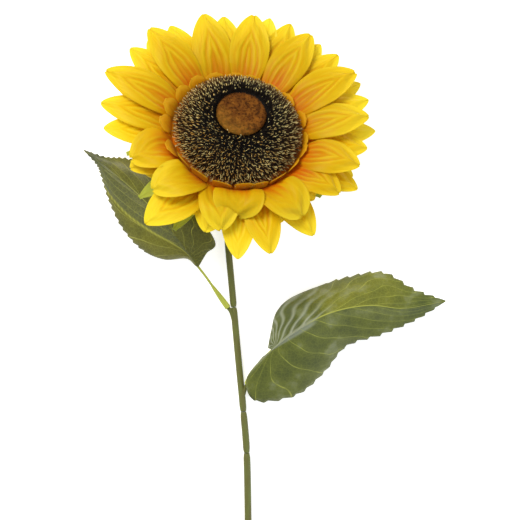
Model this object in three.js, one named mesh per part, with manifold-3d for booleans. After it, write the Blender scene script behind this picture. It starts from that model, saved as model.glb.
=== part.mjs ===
// An artificial cut sunflower lying on a table, face up, in millimetres and +Z up.
//
// It is made the way such a flower is assembled. A steel wire runs through moulded stem sleeves. The head is
// a stack on one pin: the bristly disc, die-cut layers of yellow petals, a star of lime-green bracts and a
// plastic calyx cup. The fabric leaves stand on moulded petioles that plug over pegs on the forked sleeve.
//
// The flower is laid out from the point on the table under the middle of its head, with the stem running
// towards -Y. At the end it is shifted so that the origin is the middle of its footprint.

import * as THREE from "three";
import { mergeVertices } from "three/addons/utils/BufferGeometryUtils.js";
import Module from "manifold-3d";

const wasm = await Module();
wasm.setup();

// Driving dimensions
const HEAD_HEIGHT = 48; // middle of the disc's base above the table
const HEAD_TILT = 30; // degrees that the head leans back from facing straight up
const HEAD_LEAN_AZIMUTH = 75.5; // degrees from +X towards +Y: the way it leans

const DISC_RADIUS = 52;
const DISC_FOOT_RADIUS = 48.5; // the disc narrows towards its base, where the petals leave it
const DISC_FOOT_HEIGHT = 4;
const DISC_HEIGHT = 33; // crest of the disc above its base
const DISC_CREST_RADIUS = 26;
const FLANK_LEAN = 2.2; // exponents of the disc's outline: the flank leans in early
const FLANK_RISE = 1.3; // and rises slowly from the foot
const PAD_RADIUS = 20.5;
const PAD_FLOOR = 28; // floor of the recess that holds the brown pad
const PAD_THICKNESS = 4.5;
const FLORET_RISE = 2.4;
const FLORET_COLUMNS = 48;
const FLORET_ROWS = 8;
const PIN_RADIUS = 3;
const PIN_LENGTH = 20;
const FIT_GAP = 0.35; // between pieces that touch on the real flower

const FABRIC_THICKNESS = 0.8;
const PETAL_THICKNESS = 0.7;
const POINTED_TIP = 0.75; // exponents of a petal's outline towards its tip
const ROUND_TIP = 0.42;
const ROLL_STARTS_AT = 50; // degrees of curl
const ROLL_ENDS_AT = 90;
const LEAF_THICKNESS = 0.8;
const LEAF_TEETH = 16;
const LEAF_SMOOTH_TIP = 0.985;
const TOOTH_DEPTH = 2;
const VEINS_A_SIDE = 6.5;

const WIRE_RADIUS = 1.2;
const SLEEVE_BORE = WIRE_RADIUS + FIT_GAP;
const STEM_END = -480;
const JOINT_GAP = 0.4;
const KNUCKLE_LENGTH = 5;
const KNUCKLE_TAPER = 0.2;
const NECK_JOINT = -143.5;
const FORK_JOINT = -232;
const MIDDLE_JOINT = -267;
const CALYX_DEPTH = 31;
const NECK_TOP_DEPTH = 22; // how far behind the disc's base the neck ends, inside the calyx cup

const X_AXIS = new THREE.Vector3(1, 0, 0);
const Z_AXIS = new THREE.Vector3(0, 0, 1);

const radians = THREE.MathUtils.degToRad;
const vec = (x, y, z) => new THREE.Vector3(x, y, z);
const splineThrough = (points) =>
  new THREE.CatmullRomCurve3(points.map((p) => vec(...p)), false, "catmullrom", 0.5);

// A repeatable value between -1 and 1 for the item with this number
function wobble(number) {
  const share = Math.sin(number * 127.1) * 43758.5453;
  return 2 * (share - Math.floor(share)) - 1;
}

// The head's own frame has its middle at the disc's base, and its Z axis points out of the flower's face
const leanTo = vec(Math.cos(radians(HEAD_LEAN_AZIMUTH)), Math.sin(radians(HEAD_LEAN_AZIMUTH)), 0);
const headAxis = leanTo
  .clone()
  .multiplyScalar(Math.sin(radians(HEAD_TILT)))
  .addScaledVector(Z_AXIS, Math.cos(radians(HEAD_TILT)));
const headTurn = new THREE.Quaternion().setFromUnitVectors(Z_AXIS, headAxis);
const headCentre = vec(0, 0, HEAD_HEIGHT);
const behindHead = (depth) => headCentre.clone().addScaledVector(headAxis, -depth);

// Closed meshes from grids of points

// Joins rings of points, one after another, into triangles. Each ring closes on itself.
function stitch(rings) {
  const count = rings[0].length;
  const index = [];
  for (let i = 0; i + 1 < rings.length; i++)
    for (let j = 0; j < count; j++) {
      const a = i * count + j;
      const b = i * count + ((j + 1) % count);
      index.push(a, b, b + count, a, b + count, a + count);
    }
  return index;
}

function geometryOf(points, index) {
  const geometry = new THREE.BufferGeometry().setFromPoints(points);
  geometry.setIndex(index);
  return geometry;
}

function solidOf(geometry) {
  const bare = geometry.clone();
  bare.deleteAttribute("normal");
  bare.deleteAttribute("uv");
  const merged = mergeVertices(bare, 1e-4);
  return new wasm.Manifold(
    new wasm.Mesh({
      numProp: 3,
      vertProperties: merged.attributes.position.array,
      triVerts: new Uint32Array(merged.index.array),
    }),
  );
}

// Closes the first and last of the rings with flat fans, and turns the solid the right way out
function closedSolid(rings) {
  const points = rings.flat();
  const count = rings[0].length;
  const last = points.length - count;
  const index = stitch(rings);
  for (let k = 1; k + 1 < count; k++) {
    index.push(0, k + 1, k);
    index.push(last, last + k, last + k + 1);
  }
  const solid = solidOf(geometryOf(points, index));
  return solid.volume() > 0 ? solid : solidOf(geometryOf(points, index.reverse()));
}

function geometryFrom(solid) {
  const mesh = solid.getMesh();
  const geometry = new THREE.BufferGeometry();
  geometry.setAttribute("position", new THREE.BufferAttribute(mesh.vertProperties, 3));
  geometry.setIndex(new THREE.BufferAttribute(mesh.triVerts, 1));
  return geometry;
}

const fuse = (solids) => solids.reduce((sum, solid) => sum.add(solid));

// A thin solid about a smooth middle surface. surface(u, v) gives its points, with v from -1 to 1 across it.
function bladeSolid(surface, alongStations, acrossStations, thickness) {
  const step = 1e-3;
  // Each ring runs across the front of the blade and returns across its back
  const rings = alongStations.map((u) => {
    const front = [];
    const back = [];
    for (const v of acrossStations) {
      const middle = surface(u, v);
      const inner = Math.min(1 - step, v);
      const along = surface(u + step, inner).sub(surface(u - step, inner));
      const across = surface(u, inner + step).sub(surface(u, inner));
      const normal = along.cross(across).normalize();
      front.push(middle.clone().addScaledVector(normal, thickness / 2));
      back.unshift(middle.clone().addScaledVector(normal, -thickness / 2));
    }
    return [...front, ...back];
  });
  return closedSolid(rings);
}

// A solid round bar along a curve, with its own radius at each station
function barSolid(curve, stations, radiusAt, sides, reference) {
  const rings = stations.map((t) => {
    const centre = curve.getPoint(t);
    const along = curve.getTangent(t);
    const across = reference.clone().addScaledVector(along, -reference.dot(along)).normalize();
    const other = along.clone().cross(across);
    return Array.from({ length: sides }, (_, k) => {
      const turn = (2 * Math.PI * k) / sides;
      return centre
        .clone()
        .addScaledVector(across, radiusAt(t) * Math.cos(turn))
        .addScaledVector(other, radiusAt(t) * Math.sin(turn));
    });
  });
  return closedSolid(rings);
}

// The flower's head

// How blunt a petal's tip is. A strongly curled petal has its point rolled in, so it ends round.
function tipExponent(curl) {
  const rolled = (Math.abs(curl) - ROLL_STARTS_AT) / (ROLL_ENDS_AT - ROLL_STARTS_AT);
  return POINTED_TIP - (POINTED_TIP - ROUND_TIP) * Math.min(1, Math.max(0, rolled));
}

// Half the width of a petal at u from its root to its tip, as a share of its greatest half width
function petalOutline(u, layer, curl) {
  if (u <= 0) return layer.rootShare;
  if (u < layer.widestAt) {
    return layer.rootShare + (1 - layer.rootShare) * Math.sin((Math.PI / 2) * (u / layer.widestAt));
  }
  const past = Math.min(1, (u - layer.widestAt) / (1 - layer.widestAt));
  return Math.max(layer.tipShare, Math.cos((Math.PI / 2) * past) ** tipExponent(curl));
}

// A petal in the head's frame. It leaves the hub's rim at the angle lift above the hub and follows an arc to
// the angle lift + curl. turn swings it aside from straight outward, and cup raises its edges.
function petalSurface(petal, layer) {
  const lift = radians(petal.lift);
  const curl = radians(petal.curl || 1e-3);
  const azimuth = radians(petal.azimuth);
  const heading = radians(petal.azimuth + petal.turn);
  const root = vec(layer.rootRadius * Math.cos(azimuth), layer.rootRadius * Math.sin(azimuth), layer.depth);
  const outward = vec(Math.cos(heading), Math.sin(heading), 0);
  // A turned petal still lies flat against the rim at its root
  const sidewaysAt = (arc) => {
    const facing = azimuth + (heading - azimuth) * Math.min(1, 3 * arc);
    return vec(-Math.sin(facing), Math.cos(facing), 0);
  };
  return (u, v) => {
    const arc = Math.max(0, u);
    const angle = u > 0 ? lift + curl * arc : 0;
    const reach = u > 0 ? (Math.sin(angle) - Math.sin(lift)) / curl : u;
    const rise = u > 0 ? (Math.cos(lift) - Math.cos(angle)) / curl : 0;
    const half = petal.halfWidth * petalOutline(u, layer, petal.curl);
    const fold = petal.cup * half * v * v * Math.min(1, 4 * arc);
    const roll = petal.twist * arc;
    const across = half * v * Math.cos(roll) - fold * Math.sin(roll);
    const above = fold * Math.cos(roll) + half * v * Math.sin(roll);
    return root
      .clone()
      .addScaledVector(outward, petal.length * reach - above * Math.sin(angle))
      .addScaledVector(sidewaysAt(arc), across)
      .addScaledVector(Z_AXIS, petal.length * rise + above * Math.cos(angle));
  };
}

// 1 on the side that the head leans to, where petals meet the table, and -1 on the side that stands free
const towardsTable = (azimuth) => Math.cos(radians(azimuth - HEAD_LEAN_AZIMUTH));

// The short tabs that hug the foot of the disc
const TAB_COUNT = 20;
const TABS = Array.from({ length: TAB_COUNT }, (_, k) => {
  const azimuth = (360 / TAB_COUNT) * k + 5 * wobble(k);
  const length = 17 + 3 * wobble(k + 40);
  return [azimuth, length, 66, -26, 0];
});

// The layers of petals, front to back. Each petal is [azimuth, length, lift, curl, turn, breadth], in mm and
// degrees. Breadth is a share of the layer's width, and is 1 where it isn't given.
const LAYERS = {
  petal_layer_inner: {
    depth: -0.9,
    rootRadius: 51.5,
    rootShare: 0.85,
    widestAt: 0.6,
    tipShare: 0.45,
    halfWidth: 5.4,
    cup: 0.1,
    along: [0.6, 1],
    across: [-1, 0, 1],
    colour: "#d98c14",
    petals: TABS,
  },
  petal_layer_front: {
    depth: -2.6,
    rootRadius: 53,
    rootShare: 0.62,
    widestAt: 0.45,
    tipShare: 0.03,
    halfWidth: 15.5,
    cup: 0.19,
    along: [0.22, 0.45, 0.68, 0.87, 1],
    across: [-1, -0.5, 0, 0.5, 1],
    colour: "#e6b31c",
    petals: [
      [9, 61, 40, -42, -3],
      [31, 66, 37, -38, -2],
      [57, 64, 31, -26, -2],
      [81, 62, 28, -18, 2],
      [105, 63, 28, -18, -2],
      [127, 68, 28, -24, 2],
      [154, 69, 27, -28, 2],
      [197, 41, 42, -74, 0, 1.15],
      [233, 45, 50, -84, -30, 1.1],
      [249, 43, 34, -68, 28],
      [269, 34, 76, -152, 0, 1.3],
      [295, 46, 54, -92, 20, 1.2],
      [324, 50, 42, -58, 3],
      [341, 56, 46, -52, 0],
    ],
  },
  petal_layer_middle: {
    depth: -4.7,
    rootRadius: 51.5,
    rootShare: 0.64,
    widestAt: 0.45,
    tipShare: 0.03,
    halfWidth: 14.5,
    cup: 0.1,
    along: [0.25, 0.48, 0.7, 0.87, 1],
    across: [-1, 0, 1],
    colour: "#edbd1e",
    petals: [
      [18, 67, 22, -22, 0],
      [42, 67, 20, -12, 0],
      [66, 67, 19, -6, 0],
      [95, 62, 20, -7, 0],
      [119, 64, 19, -8, 0],
      [139, 67, 19, -15, 0],
      [168, 64, 18, -20, 0],
      [200, 42, 12, -28, 0],
      [236, 60, 8, -18, -20, 1.1],
      [253, 40, 2, -24, 0],
      [284, 57, 4, -20, 0],
      [305, 56, 6, -20, 0],
      [335, 58, 14, -22, 0],
      [355, 58, 20, -23, 0],
    ],
  },
  petal_layer_back: {
    depth: -6.8,
    rootRadius: 49.5,
    rootShare: 0.64,
    widestAt: 0.48,
    tipShare: 0.03,
    halfWidth: 14,
    cup: 0.06,
    along: [0.25, 0.48, 0.7, 0.87, 1],
    across: [-1, 0, 1],
    colour: "#f2cb24",
    petals: [
      [5, 68, 9, -8, 0],
      [27, 70, 12, -5, 0],
      [51, 68, 11.6, -1, 0],
      [75, 68, 17, 0, 0],
      [104, 66, 9.4, -1, 0],
      [130, 66, 11, -3, 0],
      [153, 66, 8, -6, 0],
      [178, 60, 7, -8, 0],
      [205, 34, 1, -10, 0],
      [238, 34, -5, -10, 0],
      [270, 59, -4, -14, 0],
      [296, 34, -5, -12, 0],
      [320, 34, 0, -12, 0],
      [342, 52, 5, -10, 0],
    ],
  },
};

// Each bract is [azimuth, length]
const BRACT_POINTS = [
  [9, 47],
  [35, 50],
  [60, 44],
  [86, 42],
  [112, 48],
  [137, 50],
  [163, 46],
  [189, 44],
  [214, 49],
  [240, 48],
  [266, 40],
  [292, 36],
  [325, 38],
  [348, 44],
];

const BRACTS = {
  depth: -9,
  rootRadius: 47.5,
  rootShare: 0.8,
  widestAt: 0.3,
  tipShare: 0.05,
  halfWidth: 7,
  cup: 0.1,
  along: [0.5, 1],
  across: [-1, 0, 1],
  colour: "#a9b83c",
  petals: BRACT_POINTS.map(([azimuth, length]) => [azimuth, length, 1 + 10 * towardsTable(azimuth), -6, 0]),
};

// One die-cut layer: a flat hub with a hole for the pin, and its petals sunk into the hub's rim
function petalLayer(layer) {
  const along = [-0.06, 0, ...layer.along];
  const across = layer.across;
  const petals = layer.petals.map(([azimuth, length, lift, curl, turn, breadth = 1], k) => {
    const petal = {
      azimuth,
      length,
      lift,
      curl,
      turn,
      halfWidth: breadth * layer.halfWidth * (1 + 0.05 * wobble(k + 11)),
      cup: layer.cup * (1 + 0.5 * wobble(k + 23)),
      twist: 0.1 * wobble(k + 31),
    };
    return bladeSolid(petalSurface(petal, layer), along, across, PETAL_THICKNESS);
  });
  const bore = PIN_RADIUS + FIT_GAP;
  const rim = layer.rootRadius + 0.5;
  const half = FABRIC_THICKNESS / 2;
  const hub = latheSolid(
    [
      [bore, layer.depth - half],
      [rim, layer.depth - half],
      [rim, layer.depth + half],
      [bore, layer.depth + half],
    ],
    28,
  );
  return fuse([hub, ...petals]);
}

// A solid of revolution about the head's axis. The profile runs round anticlockwise and closes on itself.
function latheSolid(profile, sides) {
  const points = [...profile, profile[0]].map(([x, y]) => new THREE.Vector2(x, y));
  const geometry = new THREE.LatheGeometry(points, sides);
  geometry.rotateX(Math.PI / 2);
  return solidOf(geometry);
}

// The disc's outline above its foot: a flank that leans in and rounds over to the crest
function discProfile(share) {
  const angle = (Math.PI / 2) * share;
  const radius = DISC_CREST_RADIUS + (DISC_RADIUS - DISC_CREST_RADIUS) * Math.cos(angle) ** FLANK_LEAN;
  return [radius, DISC_FOOT_HEIGHT + (DISC_HEIGHT - DISC_FOOT_HEIGHT) * Math.sin(angle) ** FLANK_RISE];
}

// The bristly disc with its pin. The bristles are raised from its surface as points, larger than life.
function discSolid() {
  const ring = (row, radius, height, riseAt = () => 0, outward = Z_AXIS) =>
    Array.from({ length: FLORET_COLUMNS }, (_, j) => {
      const turn = (2 * Math.PI * (j + row / 2)) / FLORET_COLUMNS;
      const r = radius + riseAt(j) * outward.x;
      return vec(r * Math.cos(turn), r * Math.sin(turn), height + riseAt(j) * outward.z);
    });
  const rows = [ring(0, DISC_FOOT_RADIUS, 0)];
  for (let i = 0; i <= FLORET_ROWS; i++) {
    const share = i / FLORET_ROWS;
    const [radius, height] = discProfile(share);
    const [radiusAfter, heightAfter] = discProfile(Math.min(1, share + 0.02));
    const outward = vec(heightAfter - height, 0, radius - radiusAfter).normalize();
    const hasPoints = i % 2 === 1;
    const riseAt = (j) => (hasPoints && (j + (i - 1) / 2) % 2 === 0 ? FLORET_RISE : 0);
    rows.push(ring(i, radius, height, riseAt, outward));
  }
  rows.push(ring(FLORET_ROWS, PAD_RADIUS + FIT_GAP, PAD_FLOOR));
  const cushion = closedSolid(rows);
  const pin = latheSolid(
    [
      [0, -PIN_LENGTH],
      [PIN_RADIUS, -PIN_LENGTH],
      [PIN_RADIUS, 1],
      [0, 1],
    ],
    12,
  );
  return cushion.add(pin);
}

function padSolid() {
  const floor = PAD_FLOOR + FIT_GAP;
  const shoulder = floor + 0.6 * PAD_THICKNESS;
  return latheSolid(
    [
      [0, floor],
      [PAD_RADIUS - 0.5, floor],
      [PAD_RADIUS - 0.5, shoulder],
      [PAD_RADIUS - 4, floor + 0.95 * PAD_THICKNESS],
      [0, floor + PAD_THICKNESS],
    ],
    24,
  );
}

// The green plastic cup behind the bracts. The disc's pin enters it from above and the neck from below.
function calyxSolid() {
  const top = -10;
  const pinBore = PIN_RADIUS + FIT_GAP;
  const neckBore = stemRadius(0) + 2 * FIT_GAP;
  return latheSolid(
    [
      [pinBore, top],
      [pinBore, -PIN_LENGTH - 0.8],
      [neckBore, -PIN_LENGTH - 0.8],
      [neckBore, -CALYX_DEPTH],
      [neckBore + 2.2, -CALYX_DEPTH],
      [12, -27],
      [24, -19],
      [31, -12.5],
      [32, top],
    ],
    20,
  );
}

// The stem

const STEM_ROUTE = [
  behindHead(NECK_TOP_DEPTH).toArray(),
  behindHead(28).toArray(),
  behindHead(34).toArray(),
  [-6.6, -27.5, 12.4],
  [-9.4, -44, 7.8],
  [-8.9, -80, 7.0],
  [-5.0, -125, 6.6],
  [0.4, -185, 6.0],
  [4.8, -232, 5.5],
  [7.1, -269, 5.1],
  [8.7, -324, 4.5],
  [9.6, -400, 3.6],
  [9.4, STEM_END, 2.8],
];

// Spaces the stations of a curve by length, from 0 at its start to 1 at its end
function evenly(points) {
  const curve = splineThrough(points);
  curve.arcLengthDivisions = 800;
  return {
    getPoint: (t) => curve.getPointAt(t),
    getTangent: (t) => curve.getTangentAt(t),
    length: curve.getLength(),
  };
}

const stem = evenly(STEM_ROUTE);

// Every tube of the stem bends at the same stations: close together at the neck and wide apart below it
const STEM_STATIONS = [
  ...Array.from({ length: 11 }, (_, k) => 0.013 * k),
  ...Array.from({ length: 14 }, (_, k) => 0.13 + (0.87 * (k + 1)) / 14),
];

// The stem thickens a little from its neck at t = 0 to its cut end at t = 1
function stemRadius(t) {
  return 2.4 + 0.4 * t;
}

// The place along the stem, from 0 to 1, where it passes this y
function stemAt(y) {
  let low = 0;
  let high = 1;
  for (let k = 0; k < 30; k++) {
    const middle = (low + high) / 2;
    if (stem.getPoint(middle).y > y) low = middle;
    else high = middle;
  }
  return low;
}

const NECK_END = stemAt(NECK_JOINT);
const FORK_END = stemAt(FORK_JOINT);
const MIDDLE_END = stemAt(MIDDLE_JOINT);
const jointShare = JOINT_GAP / stem.length;
const knuckle = KNUCKLE_LENGTH / stem.length;

// A stem sleeve from one joint to the next. Its ends taper like the knuckles of a cane.
function sleeveSolid(from, to) {
  const radiusAt = (t) => {
    const fromEnd = Math.min(1, (t - from) / knuckle, (to - t) / knuckle);
    return stemRadius(t) * (1 - KNUCKLE_TAPER * (1 - Math.max(0, fromEnd)));
  };
  const between = STEM_STATIONS.filter((t) => t > from + 1.3 * knuckle && t < to - 1.3 * knuckle);
  return barSolid(stem, [from, from + knuckle, ...between, to - knuckle, to], radiusAt, 10, X_AXIS);
}

// A straight bar from one point to another
function rodSolid(from, to, radius, sides, reference) {
  const line = new THREE.LineCurve3(from, to);
  return barSolid(line, [0, 1], () => radius, sides, reference);
}

// The bore through all the sleeves runs a little beyond both ends of the stem
const beyond = (t, reach) => stem.getPoint(t).addScaledVector(stem.getTangent(t), reach);
const stemBore = fuse([
  barSolid(stem, STEM_STATIONS, () => SLEEVE_BORE, 8, X_AXIS),
  rodSolid(beyond(0, 2), beyond(0, -2), SLEEVE_BORE, 8, X_AXIS),
  rodSolid(beyond(1, -2), beyond(1, 2), SLEEVE_BORE, 8, X_AXIS),
]);
const bored = (solid) => solid.subtract(stemBore);

// The leaves

// A leaf is lofted over stations from its base to its tip. Each station gives one side's edge, the midrib
// and the other side's edge as [x, y, z]. Both edges are cut in teeth, and the side veins are pressed in
// as waves.
const LEFT_LEAF = {
  colour: "#6b7a36",
  bulge: 3.5,
  ripple: 0.5,
  smoothUntil: 0.2,
  stations: [
    [[-35.0, -108.4, 15.6], [-33.8, -109.2, 16.0], [-32.4, -108.2, 16.0]],
    [[-43.4, -102.2, 13.0], [-39.2, -100.4, 18.0], [-25.8, -97.6, 20.0]],
    [[-62.3, -102.8, 9.0], [-47.6, -89.4, 20.0], [-18.3, -89.2, 25.0]],
    [[-81.0, -94.6, 6.0], [-58.6, -75.8, 21.0], [-31.2, -67.4, 27.0]],
    [[-97.8, -76.2, 5.0], [-72.0, -59.8, 20.0], [-50.2, -41.5, 24.0]],
    [[-109.0, -53.0, 5.5], [-87.2, -44.6, 18.0], [-72.0, -24.6, 19.0]],
    [[-115.4, -32.6, 8.0], [-103.2, -31.0, 15.0], [-93.9, -17.8, 14.0]],
    [[-119.3, -22.6, 9.0], [-116.8, -20.0, 11.0], [-111.7, -16.4, 10.5]],
    [[-130.0, -11.0, 8.0], [-130.0, -10.6, 8.0], [-129.8, -10.2, 8.0]],
  ],
};

const RIGHT_LEAF = {
  colour: "#6f7d3c",
  bulge: 4,
  ripple: 0.9,
  smoothUntil: 0.3,
  stations: [
    [[20.8, -184.6, 24.0], [29.0, -178.4, 29.0], [25.6, -177.0, 24.0]],
    [[7.4, -204.4, 15.5], [32.4, -175.6, 31.0], [28.4, -162.8, 17.0]],
    [[15.6, -222.4, 9.0], [41.5, -168.0, 34.0], [32.6, -147.8, 11.0]],
    [[49.4, -217.6, 7.0], [55.0, -158.8, 35.5], [44.2, -135.9, 8.0]],
    [[73.0, -198.2, 9.0], [71.0, -149.6, 35.0], [67.8, -125.8, 7.0]],
    [[91.6, -176.0, 13.0], [90.4, -143.7, 32.0], [94.8, -117.4, 7.0]],
    [[122.0, -165.8, 14.0], [113.0, -141.3, 27.0], [123.4, -114.0, 9.0]],
    [[150.6, -153.6, 11.0], [140.1, -143.9, 19.0], [149.6, -128.4, 11.0]],
    [[175.6, -138.6, 8.0], [175.8, -138.2, 8.0], [175.9, -137.6, 8.0]],
  ],
};

const ACROSS_LEAF = [-1, -0.72, -0.36, 0, 0.36, 0.72, 1];

function leafSurface(leaf) {
  const sides = [0, 1, 2].map((side) => splineThrough(leaf.stations.map((row) => row[side])));
  const [oneEdge, midrib, otherEdge] = sides;
  return (u, v) => {
    const t = Math.max(0, Math.min(1, u));
    const middle = midrib.getPoint(t);
    const edge = (v < 0 ? oneEdge : otherEdge).getPoint(t);
    const notch = Math.abs(v) > 0.99 && isNotch(leaf, t) ? TOOTH_DEPTH / middle.distanceTo(edge) : 0;
    const share = Math.abs(v) * (1 - notch);
    const arch = 4 * share * (1 - share) * Math.sin(Math.PI * Math.min(1, t + 0.05));
    const wave = Math.cos(2 * Math.PI * (VEINS_A_SIDE * t - 0.7 * share));
    const vein = wave * share * (1.2 - share) * Math.sin(Math.PI * t);
    const point = middle.lerp(edge, share);
    point.z += leaf.bulge * arch + 2 * leaf.ripple * vein;
    return point;
  };
}

// Every other station along a leaf's edge is a notch between two teeth, except near its base and its tip
function isNotch(leaf, t) {
  return t > leaf.smoothUntil && t < LEAF_SMOOTH_TIP && Math.round(2 * t * LEAF_TEETH) % 2 === 1;
}

function leafSolid(leaf) {
  const along = Array.from({ length: 2 * LEAF_TEETH + 1 }, (_, k) => k / (2 * LEAF_TEETH));
  return bladeSolid(leafSurface(leaf), along, ACROSS_LEAF, LEAF_THICKNESS);
}

// The moulded petiole: a socket over its peg, a thin stalk, and a rib under the leaf's midrib
const PEG_RADIUS = 0.9;
const SOCKET_RADIUS = 2.1;
const SOCKET_LENGTH = 17;
const SOCKET_DEPTH = 7;
const RIB_RADIUS = 0.8;

function petioleSolid(leaf, stalk) {
  const midrib = splineThrough(leaf.stations.map((row) => row[1]));
  const underRib = LEAF_THICKNESS / 2 + FIT_GAP + RIB_RADIUS + leaf.ripple;
  const rib = [0.06, 0.16, 0.28, 0.4, 0.52, 0.64].map((t) => {
    const point = midrib.getPoint(t);
    return [point.x, point.y, point.z - underRib];
  });
  const route = evenly([...stalk, ...rib]);
  const socketShare = SOCKET_LENGTH / route.length;
  const stations = [0, 0.3, 0.65, 1].map((k) => k * socketShare);
  for (let k = 1; k <= 12; k++) stations.push(socketShare + ((1 - socketShare) * k) / 12);
  const radiusAt = (t) => {
    if (t >= socketShare) return RIB_RADIUS * (1 - 0.35 * t);
    return RIB_RADIUS + (SOCKET_RADIUS - RIB_RADIUS) * (1 - (t / socketShare) ** 2);
  };
  const bar = barSolid(route, stations, radiusAt, 8, Z_AXIS);
  const start = route.getPoint(0);
  const into = route.getPoint(SOCKET_DEPTH / route.length).sub(start).normalize();
  const alongSocket = (reach) => start.clone().addScaledVector(into, reach);
  const socket = rodSolid(alongSocket(-2), alongSocket(SOCKET_DEPTH), PEG_RADIUS + FIT_GAP, 8, Z_AXIS);
  return { solid: bar.subtract(socket), alongSocket };
}

// The peg that a petiole plugs over, with the short branch that carries it out of the stem
function pegSolid(root, alongSocket) {
  const shoulder = alongSocket(-FIT_GAP);
  const route = evenly([root, alongSocket(-5).toArray(), shoulder.toArray()]);
  const branch = barSolid(route, [0, 0.25, 0.5, 0.75, 1], (t) => 2 - 0.4 * t, 8, Z_AXIS);
  const peg = rodSolid(alongSocket(-3), alongSocket(SOCKET_DEPTH - 0.8), PEG_RADIUS, 8, Z_AXIS);
  return branch.add(peg);
}

const leftPetiole = petioleSolid(LEFT_LEAF, [
  [-8.2, -143.6, 8.8],
  [-13.6, -136.0, 10.2],
  [-19.9, -127.2, 11.8],
  [-27.2, -116.8, 13.4],
]);
const rightPetiole = petioleSolid(RIGHT_LEAF, [
  [8.2, -208.0, 9.2],
  [11.0, -201.6, 11.8],
  [15.8, -193.4, 16.0],
  [21.6, -186.0, 20.6],
]);
const leftPeg = pegSolid([-1.9, -159.0, 6.2], leftPetiole.alongSocket);
const rightPeg = pegSolid([3.4, -222.0, 5.6], rightPetiole.alongSocket);

// The assembly

function named(name, solid, colour, roughness, metalness = 0) {
  const material = new THREE.MeshStandardMaterial({ color: colour, roughness, metalness });
  const mesh = new THREE.Mesh(geometryFrom(solid), material);
  mesh.name = name;
  return mesh;
}

const STEM_GREEN = "#7c8446";
const PETIOLE_GREEN = "#b5bd4c";

const stemParts = new THREE.Group();
stemParts.add(
  named(
    "stem_wire",
    barSolid(stem, [0.002, ...STEM_STATIONS.slice(1, -1), 0.998], () => WIRE_RADIUS, 6, X_AXIS),
    "#8d8f92",
    0.45,
    0.9,
  ),
  named("stem_sleeve_neck", bored(sleeveSolid(0, NECK_END - jointShare)), STEM_GREEN, 0.55),
  named(
    "stem_sleeve_fork",
    bored(fuse([sleeveSolid(NECK_END, FORK_END - jointShare), leftPeg, rightPeg])),
    STEM_GREEN,
    0.55,
  ),
  named("stem_sleeve_middle", bored(sleeveSolid(FORK_END, MIDDLE_END - jointShare)), STEM_GREEN, 0.55),
  named("stem_sleeve_lower", bored(sleeveSolid(MIDDLE_END, 1)), STEM_GREEN, 0.55),
  named("leaf_left_petiole", leftPetiole.solid, PETIOLE_GREEN, 0.5),
  named("leaf_left_blade", leafSolid(LEFT_LEAF), LEFT_LEAF.colour, 0.6),
  named("leaf_right_petiole", rightPetiole.solid, PETIOLE_GREEN, 0.5),
  named("leaf_right_blade", leafSolid(RIGHT_LEAF), RIGHT_LEAF.colour, 0.6),
);

const head = new THREE.Group();
head.position.copy(headCentre);
head.quaternion.copy(headTurn);
head.add(
  named("disc_cushion", discSolid(), "#2a2018", 0.8),
  named("disc_centre_pad", padSolid(), "#8a5216", 0.9),
  ...Object.entries(LAYERS).map(([name, layer]) => named(name, petalLayer(layer), layer.colour, 0.6)),
  named("bract_layer", petalLayer(BRACTS), BRACTS.colour, 0.6),
  named("calyx_cup", calyxSolid(), STEM_GREEN, 0.55),
);

const sunflower = new THREE.Group();
sunflower.add(stemParts, head);

// The origin goes to the middle of the footprint, on the table
sunflower.updateMatrixWorld(true);
const bounds = new THREE.Box3().setFromObject(sunflower, true);
const middle = bounds.getCenter(new THREE.Vector3());
sunflower.position.set(-middle.x, -middle.y, -bounds.min.z);
sunflower.updateMatrixWorld(true);

export default sunflower;
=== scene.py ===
# %% [markdown]
# # An artificial sunflower on a light table
#
# The flower is made of cloth and plastic. Its petals and leaves are stamped from polyester cloth and
# pressed in a hot mould, its disc is a domed cushion of plastic bristles, and a moulded stem with a wire
# inside carries them all.
#
# The plain CAD solids of the flower are loaded first. They fix where every piece sits and how far it
# reaches, so each step below either gives a solid a finish or puts a finer piece of the same form in its
# place.

# %% Load the CAD model
import math

import bpy
import numpy as np
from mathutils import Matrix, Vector


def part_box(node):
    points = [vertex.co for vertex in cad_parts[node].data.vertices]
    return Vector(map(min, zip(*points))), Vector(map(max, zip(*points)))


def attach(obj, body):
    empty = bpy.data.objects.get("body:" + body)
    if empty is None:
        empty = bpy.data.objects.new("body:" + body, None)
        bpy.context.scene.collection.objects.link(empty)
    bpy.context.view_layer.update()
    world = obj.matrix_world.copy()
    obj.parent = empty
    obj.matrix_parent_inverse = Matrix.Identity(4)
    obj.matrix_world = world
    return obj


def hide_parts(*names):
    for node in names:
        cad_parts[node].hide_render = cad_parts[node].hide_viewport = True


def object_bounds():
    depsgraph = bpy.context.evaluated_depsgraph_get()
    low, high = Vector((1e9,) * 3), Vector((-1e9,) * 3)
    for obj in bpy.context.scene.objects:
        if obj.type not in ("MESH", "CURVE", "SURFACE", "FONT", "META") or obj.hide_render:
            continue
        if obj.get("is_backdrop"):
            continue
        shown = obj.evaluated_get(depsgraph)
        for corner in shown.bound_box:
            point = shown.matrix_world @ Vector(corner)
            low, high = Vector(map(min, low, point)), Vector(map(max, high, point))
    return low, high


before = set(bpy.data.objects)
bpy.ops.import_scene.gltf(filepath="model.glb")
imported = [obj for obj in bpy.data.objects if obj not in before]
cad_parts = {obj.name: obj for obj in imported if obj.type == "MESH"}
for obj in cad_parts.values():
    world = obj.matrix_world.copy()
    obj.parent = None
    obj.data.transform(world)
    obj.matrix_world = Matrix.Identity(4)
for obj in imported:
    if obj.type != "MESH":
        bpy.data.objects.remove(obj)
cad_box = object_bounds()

print("CAD box in metres:", [tuple(round(x, 4) for x in corner) for corner in cad_box])

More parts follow.
